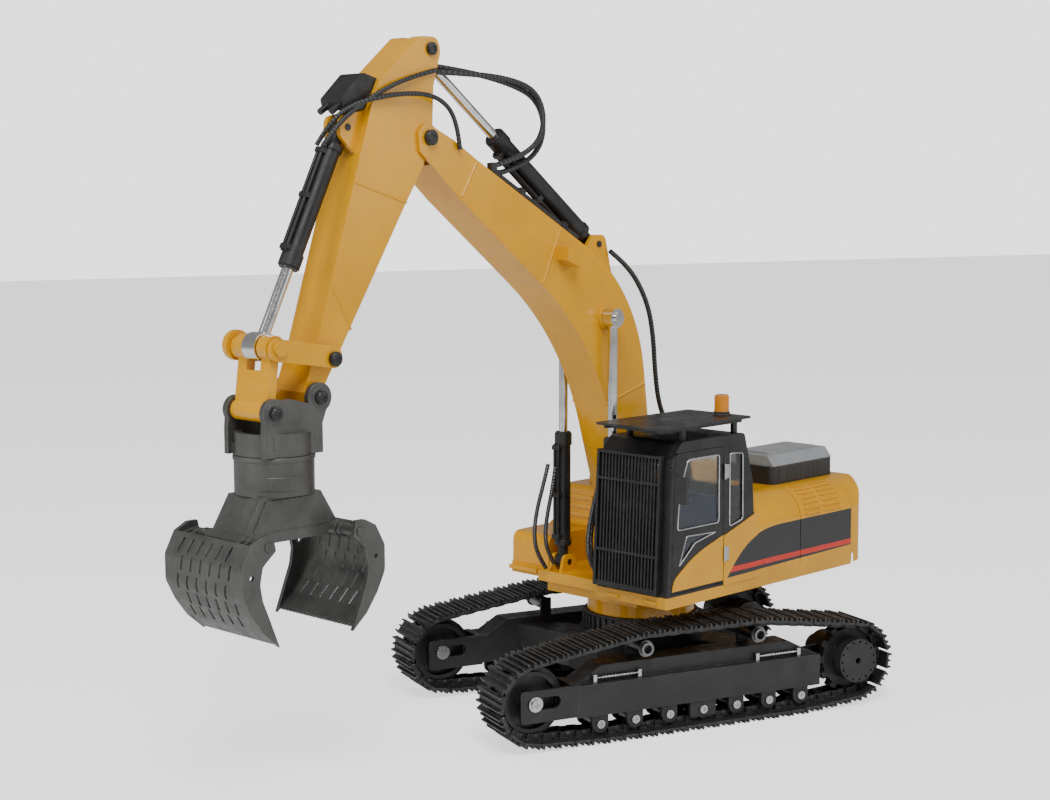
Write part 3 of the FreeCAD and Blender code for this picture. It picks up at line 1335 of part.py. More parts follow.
def saw_blade(side):
    """The serrated cutting edge along the lip of a jaw."""
    count = 22
    half = (s.jaw_half - 1).value
    pitch = 2 * half / count
    points = [Vector(0, -half, 0)]
    for i in range(count):
        start = -half + pitch * i
        points += [Vector(0, start, -11), Vector(0, start + pitch * 0.7, -11),
                   Vector(0, start + pitch * 0.7, -9.6), Vector(0, start + pitch, -9.6)]
    points += [Vector(0, half, 0), points[0]]
    edge = Part.Face(Part.makePolygon(points)).extrude(Vector(1.6, 0, 0))
    edge.translate(Vector(-0.8, 0, 0))
    x, z = [number(v) for v in jaw_points(side, [(3.0, -46.4)])[0][:2]]
    turn = Rotation(Vector(0, 1, 0), 46 * side)
    edge.Placement = Placement(Vector(x, s.boom_offset.value, z), turn).multiply(edge.Placement)
    return shaped("blade", edge)


def jaw(label, side):
    """One clamshell jaw: two crescent end plates, a slotted shell, ribs and a serrated edge."""
    half = s.jaw_half
    inner = half - s.jaw_plate
    outline = jaw_points(side, JAW_OUTER) + jaw_points(side, JAW_INNER)
    pivot = jaw_points(side, [(0, 0)])[0]
    hole = jaw_points(side, [(11.5, -15.3)])[0]
    ends = []
    for low in (inner, -half):
        cheek = lug(low, low + s.jaw_plate, outline, [
            (pivot[0], pivot[1], s.bolt_radius + s.running_gap), (hole[0], hole[1], 1.5)])
        ends.append(cheek)
    skin = JAW_OUTER[2:]
    inside = [(p[0] - s.jaw_shell.value, p[1] - 0.5) + tuple(p[2:]) for p in reversed(skin)]
    shell = lug(-inner, inner, jaw_points(side, skin) + jaw_points(side, inside))
    ribs = []
    for wide in (-27, -21, 21, 27):
        ribs.append(lug(wide - 0.8, wide + 0.8, jaw_points(side, [
            (5.2, 3.6), (11.3, 2.2), (16, -8), (12.5, -6), (5.4, -1.5)])))
    body = fuse(ends + [cut(shell, jaw_slots(side, number(inner)))] + ribs + [saw_blade(side)])
    node(label, body)


# ---------------------------------------------------------------- hoses

def hose(points, radius):
    """A tube of straight runs joined by tangent arcs, through points beside the boom plane."""
    places = [Vector(x, s.boom_offset.value + wide, z) for x, wide, z in points]
    edges = []
    last = places[0]
    bends = []
    for before, corner, after in zip(places, places[1:], places[2:]):
        into, out = corner - before, after - corner
        turn = into.getAngle(out)
        reach = 0.45 * min(into.Length, out.Length)
        bend = reach / math.tan(turn / 2)
        start = corner - into.normalize() * reach
        end = corner + out.normalize() * reach
        towards = (corner - (start + end) / 2).normalize()
        sagitta = bend * (1 - math.cos(turn / 2))
        edges.append(Part.LineSegment(last, start).toShape())
        edges.append(Part.Arc(start, (start + end) / 2 + towards * sagitta, end).toShape())
        bends.append(bend)
        last = end
    edges.append(Part.LineSegment(last, places[-1]).toShape())
    route = Part.Wire(edges)
    ring = Part.Wire(Part.Circle(places[0], places[1] - places[0], radius).toShape())
    tube = route.makePipeShell([ring], True, False)
    expected = math.pi * radius * radius * route.Length
    print("hose length %.1f, least bend %.1f, volume against section %.3f"
          % (route.Length, min(bends), abs(tube.Volume) / expected))
    return tube


LOOP_HOSES = [
    [(139.9, 12.2, 359.65), (121.1, 12.2, 364), (103.8, 12.2, 372.3), (97.2, 12.2, 381.7),
     (96.6, 12.2, 393.2), (102.2, 12.2, 403.3), (112.6, 12.2, 409.3), (134.2, 12.2, 413.1),
     (164.2, 12.2, 414.2), (187.6, 12.2, 414.2)],
    [(131.9, 8.7, 355.25), (115.3, 8.7, 359.1), (100.6, 8.7, 367), (93.7, 8.7, 376.9),
     (93.1, 8.7, 388.9), (98.9, 8.7, 399.3), (110, 8.7, 406), (133.3, 8.7, 411.8),
     (163, 8.7, 416), (186.3, 8.7, 417.7)],
]
CURL_HOSES = [
    [(266.3, 3, 371), (262.5, 8.8, 380.5), (252, 13.4, 391), (233, 15.5, 402),
     (210.5, 15.5, 410.4), (190, 14.6, 415)],
    [(266.3, -3, 371), (263, 6, 384.5), (252, 13.9, 394.5), (222, 16.6, 400.5),
     (197, 16.9, 401), (182, 17, 394.5), (175, 17, 382), (173, 16.8, 369)],
]
LIFT_HOSES = [
    [(55.5, side * 24, 163), (60, side * 24, 150), (66, side * 24, 135), (69.5, side * 24, 119),
     (67, side * 24, 104), (58, side * 24, 93)]
    for side in (1, -1)
] + [
    [(52.3, side * 20.4, 161), (55.1, side * 20.4, 147), (59.4, side * 20.4, 133),
     (62.5, side * 20.4, 119), (61, side * 20.4, 106), (54, side * 20.4, 96)]
    for side in (1, -1)
]
BACK_HOSES = [
    [(31, 9.5, 304.4), (20, 10.2, 297.8), (6, 11, 285), (-6, 11, 266), (-12, 10, 245), (-15, 9, 222),
     (-20, 8, 200), (-31, 7, 182), (-36, 6, 162), (-33, 6, 144)],
]


def hoses():
    """Flexible lines along the boom, the stick and the cylinders."""
    sets = [("loop_hoses", LOOP_HOSES, s.hose_radius), ("curl_hoses", CURL_HOSES, s.thin_hose_radius),
            ("lift_hoses", LIFT_HOSES, s.thin_hose_radius), ("boom_hose", BACK_HOSES, s.hose_radius)]
    for label, routes, radius in sets:
        tubes = [hose(route, radius.value) for route in routes]
        node(label, shaped(label, Part.makeCompound(tubes)))


# ---------------------------------------------------------------- whole machine

def build():
    chassis()
    for name, side in (("left", 1), ("right", -1)):
        side_frame("side_frame_" + name, side)
        idler("idler_" + name, side)
        sprocket("sprocket_" + name, side)
    tracks()
    track_rollers()
    carrier_rollers()
    node("idler_forks", group([idler_fork(1), idler_fork(-1)]), ROW)
    undercarriage_screws()
    drive_motors()
    tension_springs()
    slew_ring()
    deck()
    deck_pins()
    side_panels("side_panels_left", 1)
    side_panels("side_panels_right", -1)
    engine_hood()
    counterweight()
    air_filter()
    cab_shell()
    cab_door()
    cab_fittings()
    cab_glass()
    front_guard()
    roof_guard()
    beacon()
    right_side()
    boom()
    boom_pins()
    boom_fittings()
    stick()
    stick_fittings()
    cylinders()
    rocker()
    hanger()
    grapple_head()
    grapple_body()
    jaw("jaw_front", 1)
    jaw("jaw_rear", -1)
    hoses()


def check(item):
    """Refuse a sub-part whose features or shape did not come out whole."""
    for feature in [item] + item.OutListRecursive:
        states = set(feature.State) & {"Invalid", "Error"}
        if states:
            raise RuntimeError("%s of %s: %s" % (feature.Name, item.Label, states))
    if item.Shape.isNull() or not item.Shape.isValid() or not item.Shape.Solids:
        raise RuntimeError("no good shape for " + item.Label)


def export():
    os.makedirs("parts", exist_ok=True)
    for item in nodes:
        item.Shape.exportStep("parts/%s.step" % item.Label)
        solids = item.Shape.Solids
        print("%-22s solids %3d  volume %9.1f" % (item.Label, len(solids), item.Shape.Volume))


build()
document.recompute()
for feature in carved:
    if feature.Shape.Volume >= feature.BaseFeature.Shape.Volume - 1e-6:
        raise RuntimeError("nothing was cut by %s of %s" % (feature.Name, feature.getParent().Label))
for item in nodes:
    check(item)
export()
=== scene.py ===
"""Looks of the tracked toy excavator: camera, hoses, materials, small details, floor and light."""
import bpy
import bmesh
import math
from mathutils import Matrix, Vector


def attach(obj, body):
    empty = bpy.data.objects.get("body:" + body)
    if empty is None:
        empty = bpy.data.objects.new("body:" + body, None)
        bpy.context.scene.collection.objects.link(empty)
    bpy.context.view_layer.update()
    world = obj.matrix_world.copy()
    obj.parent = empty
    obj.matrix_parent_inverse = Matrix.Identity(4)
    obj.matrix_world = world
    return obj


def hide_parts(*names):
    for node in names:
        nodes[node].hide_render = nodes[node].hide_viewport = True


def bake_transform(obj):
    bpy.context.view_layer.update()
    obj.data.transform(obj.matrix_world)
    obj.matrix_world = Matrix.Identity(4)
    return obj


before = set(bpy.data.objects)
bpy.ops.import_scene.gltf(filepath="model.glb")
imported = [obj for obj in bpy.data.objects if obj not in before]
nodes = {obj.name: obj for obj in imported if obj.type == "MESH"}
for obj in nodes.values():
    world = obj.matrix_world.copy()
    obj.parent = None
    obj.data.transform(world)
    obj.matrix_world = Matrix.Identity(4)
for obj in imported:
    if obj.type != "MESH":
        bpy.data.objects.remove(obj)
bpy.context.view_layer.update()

MM = 0.001
SLEW_AXIS = Vector((-89.5, -11.3, 0.0))
SLEW_TURN = math.radians(19.9)
BOOM_MIDDLE = -10.0
UPPER = (Matrix.Scale(MM, 4) @ Matrix.Translation(SLEW_AXIS)
         @ Matrix.Rotation(SLEW_TURN, 4, "Z"))
CAB_SIDE = 78.0


# ---------------------------------------------------------------- camera

def add_camera():
    """The camera stands left of the machine and in front of it, a little above the boom's foot."""
    place = Vector((0.5210, 1.0780, 0.3482))
    look = Vector((-0.4303, -0.8953, -0.1148))
    data = bpy.data.cameras.new("camera")
    data.lens = 63.93
    data.sensor_width = 36.0
    camera = bpy.data.objects.new("camera", data)
    camera.location = place
    turn = look.to_track_quat("-Z", "Y").to_matrix().to_4x4()
    roll = Matrix.Rotation(math.radians(-0.26), 4, "Z")
    camera.matrix_world = Matrix.Translation(place) @ turn @ roll
    bpy.context.scene.collection.objects.link(camera)
    bpy.context.scene.camera = camera


add_camera()


# ---------------------------------------------------------------- hoses

# Each hose: its CAD node, the bodies at its first and last end, its diameter, and the points
# of its route as distance forward, distance from the boom's middle plane and height.
HOSES = {
    "loop_hose_upper": ("loop_hoses", "boom", "stick", 3.4, [
        (139.9, 12.2, 359.65), (121.1, 12.2, 364), (103.8, 12.2, 372.3), (97.2, 12.2, 381.7),
        (96.6, 12.2, 393.2), (102.2, 12.2, 403.3), (112.6, 12.2, 409.3), (134.2, 12.2, 413.1),
        (164.2, 12.2, 414.2), (187.6, 12.2, 414.2)]),
    "loop_hose_lower": ("loop_hoses", "boom", "stick", 3.4, [
        (131.9, 8.7, 355.25), (115.3, 8.7, 359.1), (100.6, 8.7, 367), (93.7, 8.7, 376.9),
        (93.1, 8.7, 388.9), (98.9, 8.7, 399.3), (110, 8.7, 406), (133.3, 8.7, 411.8),
        (163, 8.7, 416), (186.3, 8.7, 417.7)]),
    "curl_hose_front": ("curl_hoses", "stick", "stick", 2.8, [
        (266.3, 3, 371), (262.5, 8.8, 380.5), (252, 13.4, 391), (233, 15.5, 402),
        (210.5, 15.5, 410.4), (190, 14.6, 415)]),
    "curl_hose_back": ("curl_hoses", "stick", "stick", 2.8, [
        (266.3, -3, 371), (263, 6, 384.5), (252, 13.9, 394.5), (222, 16.6, 400.5),
        (197, 16.9, 401), (182, 17, 394.5), (175, 17, 382), (173, 16.8, 369)]),
    "boom_foot_hose": ("boom_hose", "boom", "platform", 3.4, [
        (31, 9.5, 304.4), (20, 10.2, 297.8), (6, 11, 285), (-6, 11, 266), (-12, 10, 245),
        (-15, 9, 222), (-20, 8, 200), (-31, 7, 182), (-36, 6, 162), (-33, 6, 144)]),
}
for name, wide in (("left", 1), ("right", -1)):
    barrel = "lift_%s_barrel" % name
    HOSES["lift_hose_outer_" + name] = ("lift_hoses", barrel, "platform", 2.8, [
        (55.5, wide * 24, 163), (60, wide * 24, 150), (66, wide * 24, 135),
        (69.5, wide * 24, 119), (67, wide * 24, 104), (58, wide * 24, 93)])
    HOSES["lift_hose_inner_" + name] = ("lift_hoses", barrel, "platform", 2.8, [
        (52.3, wide * 20.4, 161), (55.1, wide * 20.4, 147), (59.4, wide * 20.4, 133),
        (62.5, wide * 20.4, 119), (61, wide * 20.4, 106), (54, wide * 20.4, 96)])


def smooth_line(curve):
    """Points along the smooth line that a curve draws."""
    bare = bpy.data.objects.new("bare", curve)
    depth = curve.bevel_depth
    curve.bevel_depth = 0
    mesh = bpy.data.meshes.new_from_object(bare)
    places = [v.co.copy() for v in mesh.vertices]
    curve.bevel_depth = depth
    bpy.data.objects.remove(bare)
    bpy.data.meshes.remove(mesh)
    return places


def bending(hose):
    """The hose turned into a plain mesh at its place in the world, attached to no body."""
    mesh = bpy.data.meshes.new_from_object(hose)
    name = hose.name
    bpy.data.objects.remove(hose)
    bent = bpy.data.objects.new(name, mesh)
    bpy.context.scene.collection.objects.link(bent)
    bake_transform(bent)
    return bent


def add_hose(name, node, body, far_body, thick, route):
    """One hose as a smooth spline that leaves its fitting and goes back into the machine."""
    places = [UPPER @ Vector((x, BOOM_MIDDLE + wide, z)) for x, wide, z in route]
    curve = bpy.data.curves.new(name, "CURVE")
    curve.dimensions = "3D"
    curve.resolution_u = 16
    curve.bevel_depth = 1.0
    curve.bevel_resolution = 5
    curve.use_fill_caps = True
    spline = curve.splines.new("NURBS")
    spline.points.add(len(places) - 1)
    for point, place in zip(spline.points, places):
        point.co = (*place, 1)
        point.radius = thick * MM / 2
    spline.order_u = 3
    spline.use_endpoint_u = True
    hose = bpy.data.objects.new(name, curve)
    bpy.context.scene.collection.objects.link(hose)
    line = smooth_line(curve)
    length = sum((b - a).length for a, b in zip(line, line[1:]))
    if body == far_body:
        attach(hose, body)
    else:
        hose = bending(hose)
    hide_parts(node)
    return hose, length


hoses = {name: add_hose(name, *facts) for name, facts in HOSES.items()}


# ---------------------------------------------------------------- shader helpers

class Shader:
    """A material under construction, with short calls for the nodes that it needs."""

    def __init__(self, name):
        self.material = bpy.data.materials.new(name)
        self.material.use_nodes = True
        self.tree = self.material.node_tree
        self.surface = self.tree.nodes["Principled BSDF"]
        self.place = self.add("ShaderNodeTexCoord").outputs["Object"]

    def add(self, kind, **values):
        node = self.tree.nodes.new(kind)
        for key, value in values.items():
            setattr(node, key, value)
        return node

    def link(self, source, target):
        self.tree.links.new(source, target)

    def set(self, name, value):
        socket = self.surface.inputs[name]
        if isinstance(value, bpy.types.NodeSocket):
            self.link(value, socket)
        else:
            socket.default_value = value

    def noise(self, size, detail=4, place=None):
        """Noise whose blotches are about `size` millimetres across."""
        node = self.add("ShaderNodeTexNoise")
        node.inputs["Scale"].default_value = 1 / (size * MM)
        node.inputs["Detail"].default_value = detail
        self.link(place or self.place, node.inputs["Vector"])
        return node.outputs["Fac"]

    def spread(self, source, low, high, to_low=0.0, to_high=1.0):
        node = self.add("ShaderNodeMapRange", clamp=True)
        for key, value in (("From Min", low), ("From Max", high), ("To Min", to_low),
                           ("To Max", to_high)):
            node.inputs[key].default_value = value
        self.link(source, node.inputs["Value"])
        return node.outputs["Result"]

    def mix(self, share, first, second):
        node = self.add("ShaderNodeMix", data_type="RGBA")
        for index, value in ((0, share), (6, first), (7, second)):
            if isinstance(value, bpy.types.NodeSocket):
                self.link(value, node.inputs[index])
            else:
                node.inputs[index].default_value = value
        return node.outputs[2]

    def maths(self, operation, first, second=0.0):
        node = self.add("ShaderNodeMath", operation=operation)
        for index, value in enumerate((first, second)):
            if isinstance(value, bpy.types.NodeSocket):
                self.link(value, node.inputs[index])
            else:
                node.inputs[index].default_value = value
        return node.outputs[0]

    def axis(self, letter, place=None):
        node = self.add("ShaderNodeSeparateXYZ")
        self.link(place or self.place, node.inputs[0])
        return node.outputs[letter]

    def upper(self):
        """Place in the frame of the turned upper structure, in metres."""
        turned = self.add("ShaderNodeMapping", vector_type="TEXTURE")
        turned.inputs["Location"].default_value = SLEW_AXIS * MM
        turned.inputs["Rotation"].default_value = (0, 0, SLEW_TURN)
        self.link(self.place, turned.inputs["Vector"])
        return turned.outputs[0]

    def product(self, *factors):
        result = factors[0]
        for factor in factors[1:]:
            result = self.maths("MULTIPLY", result, factor)
        return result

    def soft_edges(self, radius):
        """Normals that round every edge by a radius in millimetres, and a mask of those edges."""
        bevel = self.add("ShaderNodeBevel", samples=4)
        bevel.inputs["Radius"].default_value = radius * MM
        geometry = self.add("ShaderNodeNewGeometry")
        dot = self.add("ShaderNodeVectorMath", operation="DOT_PRODUCT")
        self.link(bevel.outputs[0], dot.inputs[0])
        self.link(geometry.outputs["Normal"], dot.inputs[1])
        edge = self.spread(dot.outputs["Value"], 0.995, 0.80)
        return bevel.outputs[0], edge

    def bump(self, height, depth, normal=None):
        node = self.add("ShaderNodeBump")
        node.inputs["Distance"].default_value = depth * MM
        self.link(height, node.inputs["Height"])
        if normal is not None:
            self.link(normal, node.inputs["Normal"])
        self.link(node.outputs[0], self.surface.inputs["Normal"])


def shade(colour, factor):
    return (*[min(1.0, c * factor) for c in colour[:3]], 1.0)


# ---------------------------------------------------------------- materials

YELLOW = (0.74, 0.345, 0.0, 1.0)
RED = (0.62, 0.018, 0.004, 1.0)
BLACK = (0.007, 0.007, 0.008, 1.0)
IRON = (0.105, 0.105, 0.10, 1.0)

# Heights above the ground, in millimetres, where a piece changes colour.
FILTER_LID = 155.6
BEACON_LENS = 200.0

# The stripe on the engine cover, in metres. Its upper edge falls in front of the bend.
STRIPE_SIDE = 0.0768
STRIPE_REAR = -0.134
STRIPE_TOP = 0.1223
STRIPE_BEND = -0.060
STRIPE_RUN = 0.0656
STRIPE_DROP = 0.0281
STRIPE_FOOT = 0.0943
STRIPE_SLOPE = 0.0172
STRIPE_BLACK = (0.010, 0.010, 0.011, 1)
RED_LINE_FOOT = 0.0974
RED_LINE_TOP = 0.1009

# The roof sheet's holes: their pitch in millimetres, the square of their radius as a share of
# the pitch, and the height in metres above which they are cut.
HOLE_PITCH = 3.2
HOLE_SQUARE = 0.03
SHEET_LEVEL = 0.1962
FACES_UP = 0.9

# Where the mirror and the lamps begin, in metres forward and out from the boom's middle plane.
MIRROR_REAR = 0.040
LAMP_REACH = 0.0146


def side_stripe(m, base):
    """Black swoosh with a red line along the left side of the engine cover."""
    place = m.upper()
    x, y, z = (m.axis(letter, place) for letter in "XYZ")
    ahead = m.maths("DIVIDE", m.maths("ADD", x, -STRIPE_BEND), STRIPE_RUN)
    past = m.maths("MAXIMUM", ahead, 0.0)
    fall = m.maths("MULTIPLY", m.maths("POWER", past, 3.0), STRIPE_DROP)
    high = m.maths("SUBTRACT", STRIPE_TOP, fall)
    low = m.maths("SUBTRACT", STRIPE_FOOT, m.maths("MULTIPLY", x, STRIPE_SLOPE))
    on_side = m.product(m.maths("GREATER_THAN", y, STRIPE_SIDE), m.maths("LESS_THAN", z, high),
                        m.maths("GREATER_THAN", z, low),
                        m.maths("GREATER_THAN", x, STRIPE_REAR))
    line = m.product(m.maths("GREATER_THAN", z, RED_LINE_FOOT),
                     m.maths("LESS_THAN", z, RED_LINE_TOP))
    return m.mix(on_side, base, m.mix(line, STRIPE_BLACK, RED))


def gloss_paint(name, colour, rough=0.22, edge=1.25, extra=None):
    """Sprayed gloss paint: faint cloudiness, orange peel, fine dark dust specks and a painted
    highlight along the edges.
    """
    m = Shader(name)
    normal, rim = m.soft_edges(0.45)
    cloud = m.spread(m.noise(38, 3), 0.35, 0.7)
    speck = m.spread(m.noise(1.1, 2), 0.66, 0.74)
    base = m.mix(cloud, colour, shade(colour, 0.86))
    base = m.mix(m.maths("MULTIPLY", speck, 0.10), base, shade(colour, 0.55))
    # Painted highlight: along every edge the colour is mixed towards a brighter copy of itself, by
    # the factor edge.
    base = m.mix(m.maths("MULTIPLY", rim, 0.7), base, shade(colour, edge))
    m.set("Base Color", extra(m, base) if extra else base)
    m.set("Roughness", m.spread(m.noise(14, 5), 0.3, 0.75, rough - 0.05, rough + 0.12))
    m.set("Coat Weight", 0.3)
    m.set("Specular IOR Level", 0.35)
    m.set("Coat Roughness", 0.12)
    m.bump(m.noise(0.9, 2), 0.012, normal)
    return m.material


def worn_black(name, colour=BLACK, wear=0.55, rough=0.42):
    """Black painted metal, rubbed to bare metal along its edges."""
    m = Shader(name)
    normal, rim = m.soft_edges(0.35)
    patch = m.spread(m.noise(4.5, 6), 0.42, 0.62)
    bare = m.maths("MULTIPLY", rim, m.maths("MULTIPLY", patch, wear))
    dust = m.spread(m.noise(20, 5), 0.45, 0.75, 0.0, 0.35)
    base = m.mix(dust, colour, (0.045, 0.044, 0.042, 1.0))
    base = m.mix(bare, base, (0.42, 0.42, 0.43, 1.0))
    m.set("Base Color", base)
    m.set("Metallic", m.maths("MULTIPLY", bare, 0.9))
    m.set("Roughness", m.spread(m.noise(6, 5), 0.3, 0.7, rough - 0.08, rough + 0.16))
    m.bump(m.noise(0.7, 3), 0.02, normal)
    return m.material


def cast_grey(name, colour=IRON):
    """Gunmetal paint over a casting: fine grain, rubbed edges and drawn scratches."""
    m = Shader(name)
    normal, rim = m.soft_edges(0.5)
    cloud = m.spread(m.noise(16, 5), 0.35, 0.7)
    base = m.mix(cloud, colour, shade(colour, 0.72))
    scratch = m.add("ShaderNodeMapping")
    scratch.inputs["Scale"].default_value = (1, 1, 0.06)
    m.link(m.place, scratch.inputs["Vector"])
    lines = m.spread(m.noise(0.5, 3, scratch.outputs[0]), 0.63, 0.70)
    base = m.mix(m.maths("MULTIPLY", lines, 0.28), base, shade(colour, 2.1))
    base = m.mix(m.maths("MULTIPLY", rim, 0.6), base, shade(colour, 2.4))
    m.set("Base Color", base)
    m.set("Metallic", 0.55)
    m.set("Roughness", m.spread(m.noise(5, 5), 0.3, 0.7, 0.30, 0.50))
    m.bump(m.noise(0.5, 4), 0.03, normal)
    return m.material


def bright_metal(name, colour=(0.62, 0.62, 0.63, 1.0), rough=0.22, grain=(1, 1, 1)):
    """Turned or ground steel, with its grain drawn out along one axis."""
    m = Shader(name)
    normal, _ = m.soft_edges(0.3)
    drawn = m.add("ShaderNodeMapping")
    drawn.inputs["Scale"].default_value = grain
    m.link(m.place, drawn.inputs["Vector"])
    lines = m.noise(0.6, 3, drawn.outputs[0])
    m.set("Base Color", m.mix(m.spread(m.noise(9, 4), 0.4, 0.7), colour, shade(colour, 0.8)))
    m.set("Metallic", 1.0)
    m.set("Roughness", m.spread(lines, 0.3, 0.7, rough - 0.06, rough + 0.12))
    m.bump(lines, 0.006, normal)
    return m.material


def tinted_glass(name):
    """Clear pane with a grey tint, faint smears and dust."""
    m = Shader(name)
    smear = m.spread(m.noise(22, 5), 0.4, 0.75, 0.02, 0.16)
    m.set("Base Color", m.mix(m.spread(m.noise(30, 2), 0.4, 0.7), (0.62, 0.66, 0.66, 1),
                              (0.50, 0.54, 0.55, 1)))
    m.set("Roughness", smear)
    m.set("IOR", 1.45)
    m.set("Transmission Weight", 1.0)
    m.set("Specular IOR Level", 0.6)
    return m.material


def hinge_and_mirror(name):
    """Bright hinges at the rear edge of the door; the mirror in front is black."""
    m = Shader(name)
    normal, rim = m.soft_edges(0.4)
    front = m.maths("GREATER_THAN", m.axis("X", m.upper()), MIRROR_REAR)
    silver = m.mix(m.noise(5, 4), (0.55, 0.55, 0.56, 1), (0.42, 0.42, 0.43, 1))
    dark = m.mix(m.noise(7, 4), (0.010, 0.010, 0.011, 1), (0.022, 0.022, 0.023, 1))
    rubbed = m.mix(m.product(rim, 0.3), dark, (0.2, 0.2, 0.2, 1))
    m.set("Base Color", m.mix(front, silver, rubbed))
    m.set("Metallic", m.spread(front, 0, 1, 1.0, 0.0))
    m.set("Roughness", m.spread(m.noise(3, 4), 0.3, 0.7, 0.2, 0.36))
    m.bump(m.noise(0.7, 3), 0.02, normal)
    return m.material


def blue_leather(name):
    """Grained seat covering, paler along its worn edges."""
    m = Shader(name)
    normal, rim = m.soft_edges(1.6)
    cells = m.add("ShaderNodeTexVoronoi")
    cells.inputs["Scale"].default_value = 1 / (1.4 * MM)
    m.link(m.place, cells.inputs["Vector"])
    base = m.mix(m.spread(m.noise(12, 4), 0.35, 0.7), (0.02, 0.09, 0.42, 1), (0.012, 0.05, 0.26, 1))
    m.set("Base Color", m.mix(m.maths("MULTIPLY", rim, 0.4), base, (0.06, 0.18, 0.62, 1)))
    m.set("Roughness", m.spread(m.noise(3, 3), 0.3, 0.7, 0.42, 0.6))
    m.bump(cells.outputs["Distance"], 0.08, normal)
    return m.material


def perforated_black(name):
    """Thin black sheet with rows of small round holes on its flat middle."""
    m = Shader(name)
    normal, _ = m.soft_edges(0.3)
    turned = m.add("ShaderNodeMapping", vector_type="POINT")
    turned.inputs["Rotation"].default_value = (0, 0, -SLEW_TURN)
    m.link(m.place, turned.inputs["Vector"])
    cell = HOLE_PITCH * MM
    squares = []
    for letter in "XY":
        share = m.maths("FRACT", m.maths("DIVIDE", m.axis(letter, turned.outputs[0]), cell))
        squares.append(m.maths("POWER", m.maths("SUBTRACT", share, 0.5), 2.0))
    hole = m.maths("LESS_THAN", m.maths("ADD", *squares), HOLE_SQUARE)
    geometry = m.add("ShaderNodeNewGeometry")
    upright = m.maths("ABSOLUTE", m.axis("Z", geometry.outputs["Normal"]))
    flat = m.maths("GREATER_THAN", upright, FACES_UP)
    on_sheet = m.maths("GREATER_THAN", m.axis("Z"), SHEET_LEVEL)
    m.set("Alpha", m.maths("SUBTRACT", 1.0, m.maths("MULTIPLY", hole,
                                                     m.maths("MULTIPLY", flat, on_sheet))))
    m.set("Base Color", m.mix(m.spread(m.noise(18, 4), 0.4, 0.7), BLACK, (0.035, 0.035, 0.036, 1)))
    m.set("Roughness", m.spread(m.noise(7, 4), 0.3, 0.7, 0.32, 0.5))
    m.bump(m.noise(0.8, 2), 0.02, normal)
    return m.material


def two_tone(name, height, low, high, low_rough, high_rough, glow=0.0):
    """Plastic that changes colour at a height in millimetres above the ground."""
    m = Shader(name)
    normal, rim = m.soft_edges(0.4)
    above = m.maths("GREATER_THAN", m.axis("Z"), height * MM)
    cloud = m.spread(m.noise(11, 4), 0.35, 0.7)
    base = m.mix(above, m.mix(cloud, low, shade(low, 0.7)), m.mix(cloud, high, shade(high, 0.82)))
    m.set("Base Color", m.mix(m.maths("MULTIPLY", rim, 0.35), base, (0.55, 0.5, 0.42, 1)))
    m.set("Roughness", m.spread(above, 0, 1, low_rough, high_rough))
    if glow:
        m.set("Transmission Weight", m.maths("MULTIPLY", above, glow))
    m.bump(m.noise(0.8, 3), 0.03, normal)
    return m.material


def ribbed_hose(name, colour, shine, pitch, length, metallic=0.0):
    """Corrugated hose whose rings follow its length, with painted shade in the troughs and a
    painted highlight on the crests.
    """
    m = Shader(name)
    along = m.axis("X", m.tree.nodes["Texture Coordinate"].outputs["UV"])
    wave = m.maths("SINE", m.maths("MULTIPLY", along, 2 * math.pi * length / (pitch * MM)))
    ring = m.spread(wave, -1, 1)
    # Painted shade and painted highlight: the colour drops to a quarter of itself in the troughs
    # between the rings and stays full on their crests.
    m.set("Base Color", m.mix(ring, shade(colour, 0.25), colour))
    m.set("Metallic", metallic)
    m.set("Roughness", m.spread(m.noise(3, 4), 0.3, 0.7, shine, shine + 0.15))
    m.bump(ring, 0.28)
    return m.material


def lamps_and_lines(m, base):
    """Yellow lamp housings beside the boom; the lines and their clamps stay dark."""
    wide = m.maths("ABSOLUTE", m.maths("SUBTRACT", m.axis("Y", m.upper()), BOOM_MIDDLE * MM))
    return m.mix(m.maths("GREATER_THAN", wide, LAMP_REACH), (0.02, 0.02, 0.021, 1), base)


yellow = gloss_paint("yellow_paint", YELLOW)
striped = gloss_paint("yellow_striped", YELLOW, extra=side_stripe)
lamp_paint = gloss_paint("lamp_paint", YELLOW, extra=lamps_and_lines)
black = worn_black("black_paint", wear=0.25)
track_black = worn_black("track_black", (0.02, 0.02, 0.021, 1), wear=0.95, rough=0.38)
frame_black = worn_black("frame_black", (0.016, 0.016, 0.017, 1), wear=0.5)
bolt_black = worn_black("bolt_black", (0.01, 0.01, 0.011, 1), wear=0.8, rough=0.3)
grey = cast_grey("gunmetal")
steel = bright_metal("turned_steel")
chrome = bright_metal("chrome_rod", (0.78, 0.78, 0.79, 1), 0.12, (1, 1, 0.05))
dark_steel = bright_metal("dark_steel", (0.22, 0.22, 0.23, 1), 0.3)
glass = tinted_glass("cab_glass_tint")
seat_blue = blue_leather("seat_blue")
mesh_black = perforated_black("perforated_sheet")
filter_grey = two_tone("filter_two_tone", FILTER_LID, (0.02, 0.02, 0.02, 1),
                       (0.30, 0.31, 0.32, 1), 0.5, 0.35)
amber = two_tone("beacon_amber", BEACON_LENS, (0.015, 0.015, 0.015, 1),
                 (1.0, 0.36, 0.0, 1), 0.4, 0.12, 0.35)

